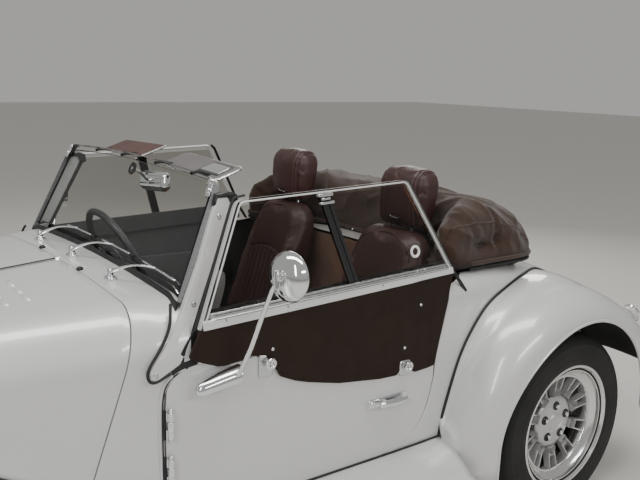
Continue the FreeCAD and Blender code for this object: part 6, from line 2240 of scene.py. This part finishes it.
def make_linings():
    def door_lining():
        outline = soft_outline(((0.185, 0.4), (0.19, 0.64), (0.15, 0.735), (-0.52, 0.72), (-0.59, 0.69),
                                (-0.56, 0.5), (-0.47, 0.4)), 0.03)
        return slab(outline, lambda a, c: Vector((a, 0.5735, c)), (0, 0.004, 0))

    both_sides("door_lining", door_lining, "flap_grey", "side_door_SIDE", slot="seat_leather", bevel=0.0015)

    def inner_flap():
        outline = soft_outline(((0.126, 0.812), (0.112, 0.88), (-0.688, 0.903), (-0.704, 0.838)), 0.006)
        return slab(outline, lambda a, c: side_point(a, c, -0.0145),
                    side_point(0, 0, 0.0022) - side_point(0, 0, 0))

    both_sides("sidescreen_inner_flap", inner_flap, "flap_grey", "side_door_SIDE", slot="panel_vinyl",
               bevel=0.0008)

    def panel_lining():
        outline = soft_outline(((0.118, 0.818), (-0.694, 0.842), (-0.636, 0.61), (-0.28, 0.632),
                                (-0.09, 0.69), (0.02, 0.762)), 0.01)
        return slab(outline, lambda a, c: panel_point(a, c, -0.003),
                    panel_point(0, 0, 0.0026) - panel_point(0, 0, 0))

    both_sides("panel_inner_lining", panel_lining, "flap_grey", "side_door_SIDE", slot="panel_vinyl",
               bevel=0.0008)


# Stage

def make_camera():
    along = Vector((math.cos(CAMERA_YAW) * math.cos(CAMERA_PITCH),
                    math.sin(CAMERA_YAW) * math.cos(CAMERA_PITCH), math.sin(CAMERA_PITCH)))
    level = along.cross(Vector((0, 0, 1))).normalized()
    upright = level.cross(along)
    right = level * math.cos(CAMERA_ROLL) + upright * math.sin(CAMERA_ROLL)
    up = upright * math.cos(CAMERA_ROLL) - level * math.sin(CAMERA_ROLL)
    data = bpy.data.cameras.new("camera")
    data.lens = CAMERA_LENS
    data.sensor_width = 36.0
    data.clip_start = 0.02
    data.clip_end = 100.0
    camera = bpy.data.objects.new("camera", data)
    bpy.context.scene.collection.objects.link(camera)
    camera.matrix_world = Matrix((
        (right.x, up.x, -along.x, CAMERA_AT[0]),
        (right.y, up.y, -along.y, CAMERA_AT[1]),
        (right.z, up.z, -along.z, CAMERA_AT[2]),
        (0, 0, 0, 1)))
    bpy.context.scene.camera = camera


def make_floor():
    mesh = bpy.data.meshes.new("floor")
    b = bmesh.new()
    bmesh.ops.create_grid(b, x_segments=1, y_segments=1, size=30.0)
    b.to_mesh(mesh)
    b.free()
    floor = bpy.data.objects.new("studio_floor", mesh)
    bpy.context.scene.collection.objects.link(floor)
    mesh.materials.append(make_finish("studio_floor", (0.66, 0.65, 0.62), 0.9))


def add_light(name, at, target, size, power, colour=(1, 1, 1)):
    data = bpy.data.lights.new(name, "AREA")
    data.shape = "RECTANGLE"
    data.size = size[0]
    data.size_y = size[1]
    data.energy = power
    data.color = colour
    light = bpy.data.objects.new(name, data)
    bpy.context.scene.collection.objects.link(light)
    light.location = at
    light.rotation_mode = "QUATERNION"
    light.rotation_quaternion = (Vector(target) - Vector(at)).to_track_quat("-Z", "Y")


def make_lights():
    world = bpy.data.worlds.new("studio")
    world.use_nodes = True
    background = world.node_tree.nodes["Background"]
    background.inputs["Color"].default_value = (0.8, 0.79, 0.76, 1)
    background.inputs["Strength"].default_value = 0.5
    bpy.context.scene.world = world
    add_light("sky_panel", (0.3, 0.6, 4.2), (-0.2, 0.1, 0.6), (5.0, 0.9), 128.0, (1.0, 0.99, 0.97))
    add_light("front_panel", (3.4, 2.6, 3.0), (0.2, 0.2, 0.7), (0.5, 3.0), 52.0)
    add_light("side_panel", (-0.6, 5.0, 3.2), (-0.4, 0.0, 0.7), (3.4, 0.5), 64.0)
    add_light("far_panel", (-4.0, -3.0, 2.6), (0.0, 0.0, 0.6), (3.0, 1.2), 60.0, (1.0, 0.97, 0.92))


def dress_nodes():
    slots = {entry["node"]: entry["material_slot"] for entry in record["subparts"]}
    for name, node in nodes.items():
        node.data.materials.clear()
        node.data.materials.append(finishes[slots[name]])


make_camera()
make_floor()
make_lights()
finishes = {}
for group in (body_finishes, metal_finishes, glass_finishes, cover_finishes, dark_finishes,
              wheel_and_lamp_finishes):
    finishes.update(group())
dress_nodes()
make_bonnet()
make_bay_sides()
make_scuttle()
make_doors()
make_rear_body()
make_boot_lid()
make_rear_bulkhead()
make_wings()
make_wheels()
make_windscreen()
make_pillars()
make_scuttle_edge()
make_side_frames()
make_lower_panels()
make_mirrors()
make_door_hinges()
make_boot_hinges()
make_door_handles()
make_wipers()
make_visors()
make_interior_mirror()
make_radiator()
make_headlamps()
make_front_bumper()
make_tail_lamps()
make_rear_bumper()
make_boot_handle()
make_seats()
make_hood()
make_dash()
make_dials()
make_dash_fittings()
make_steering_wheel()
make_levers()
make_belts()
make_linings()
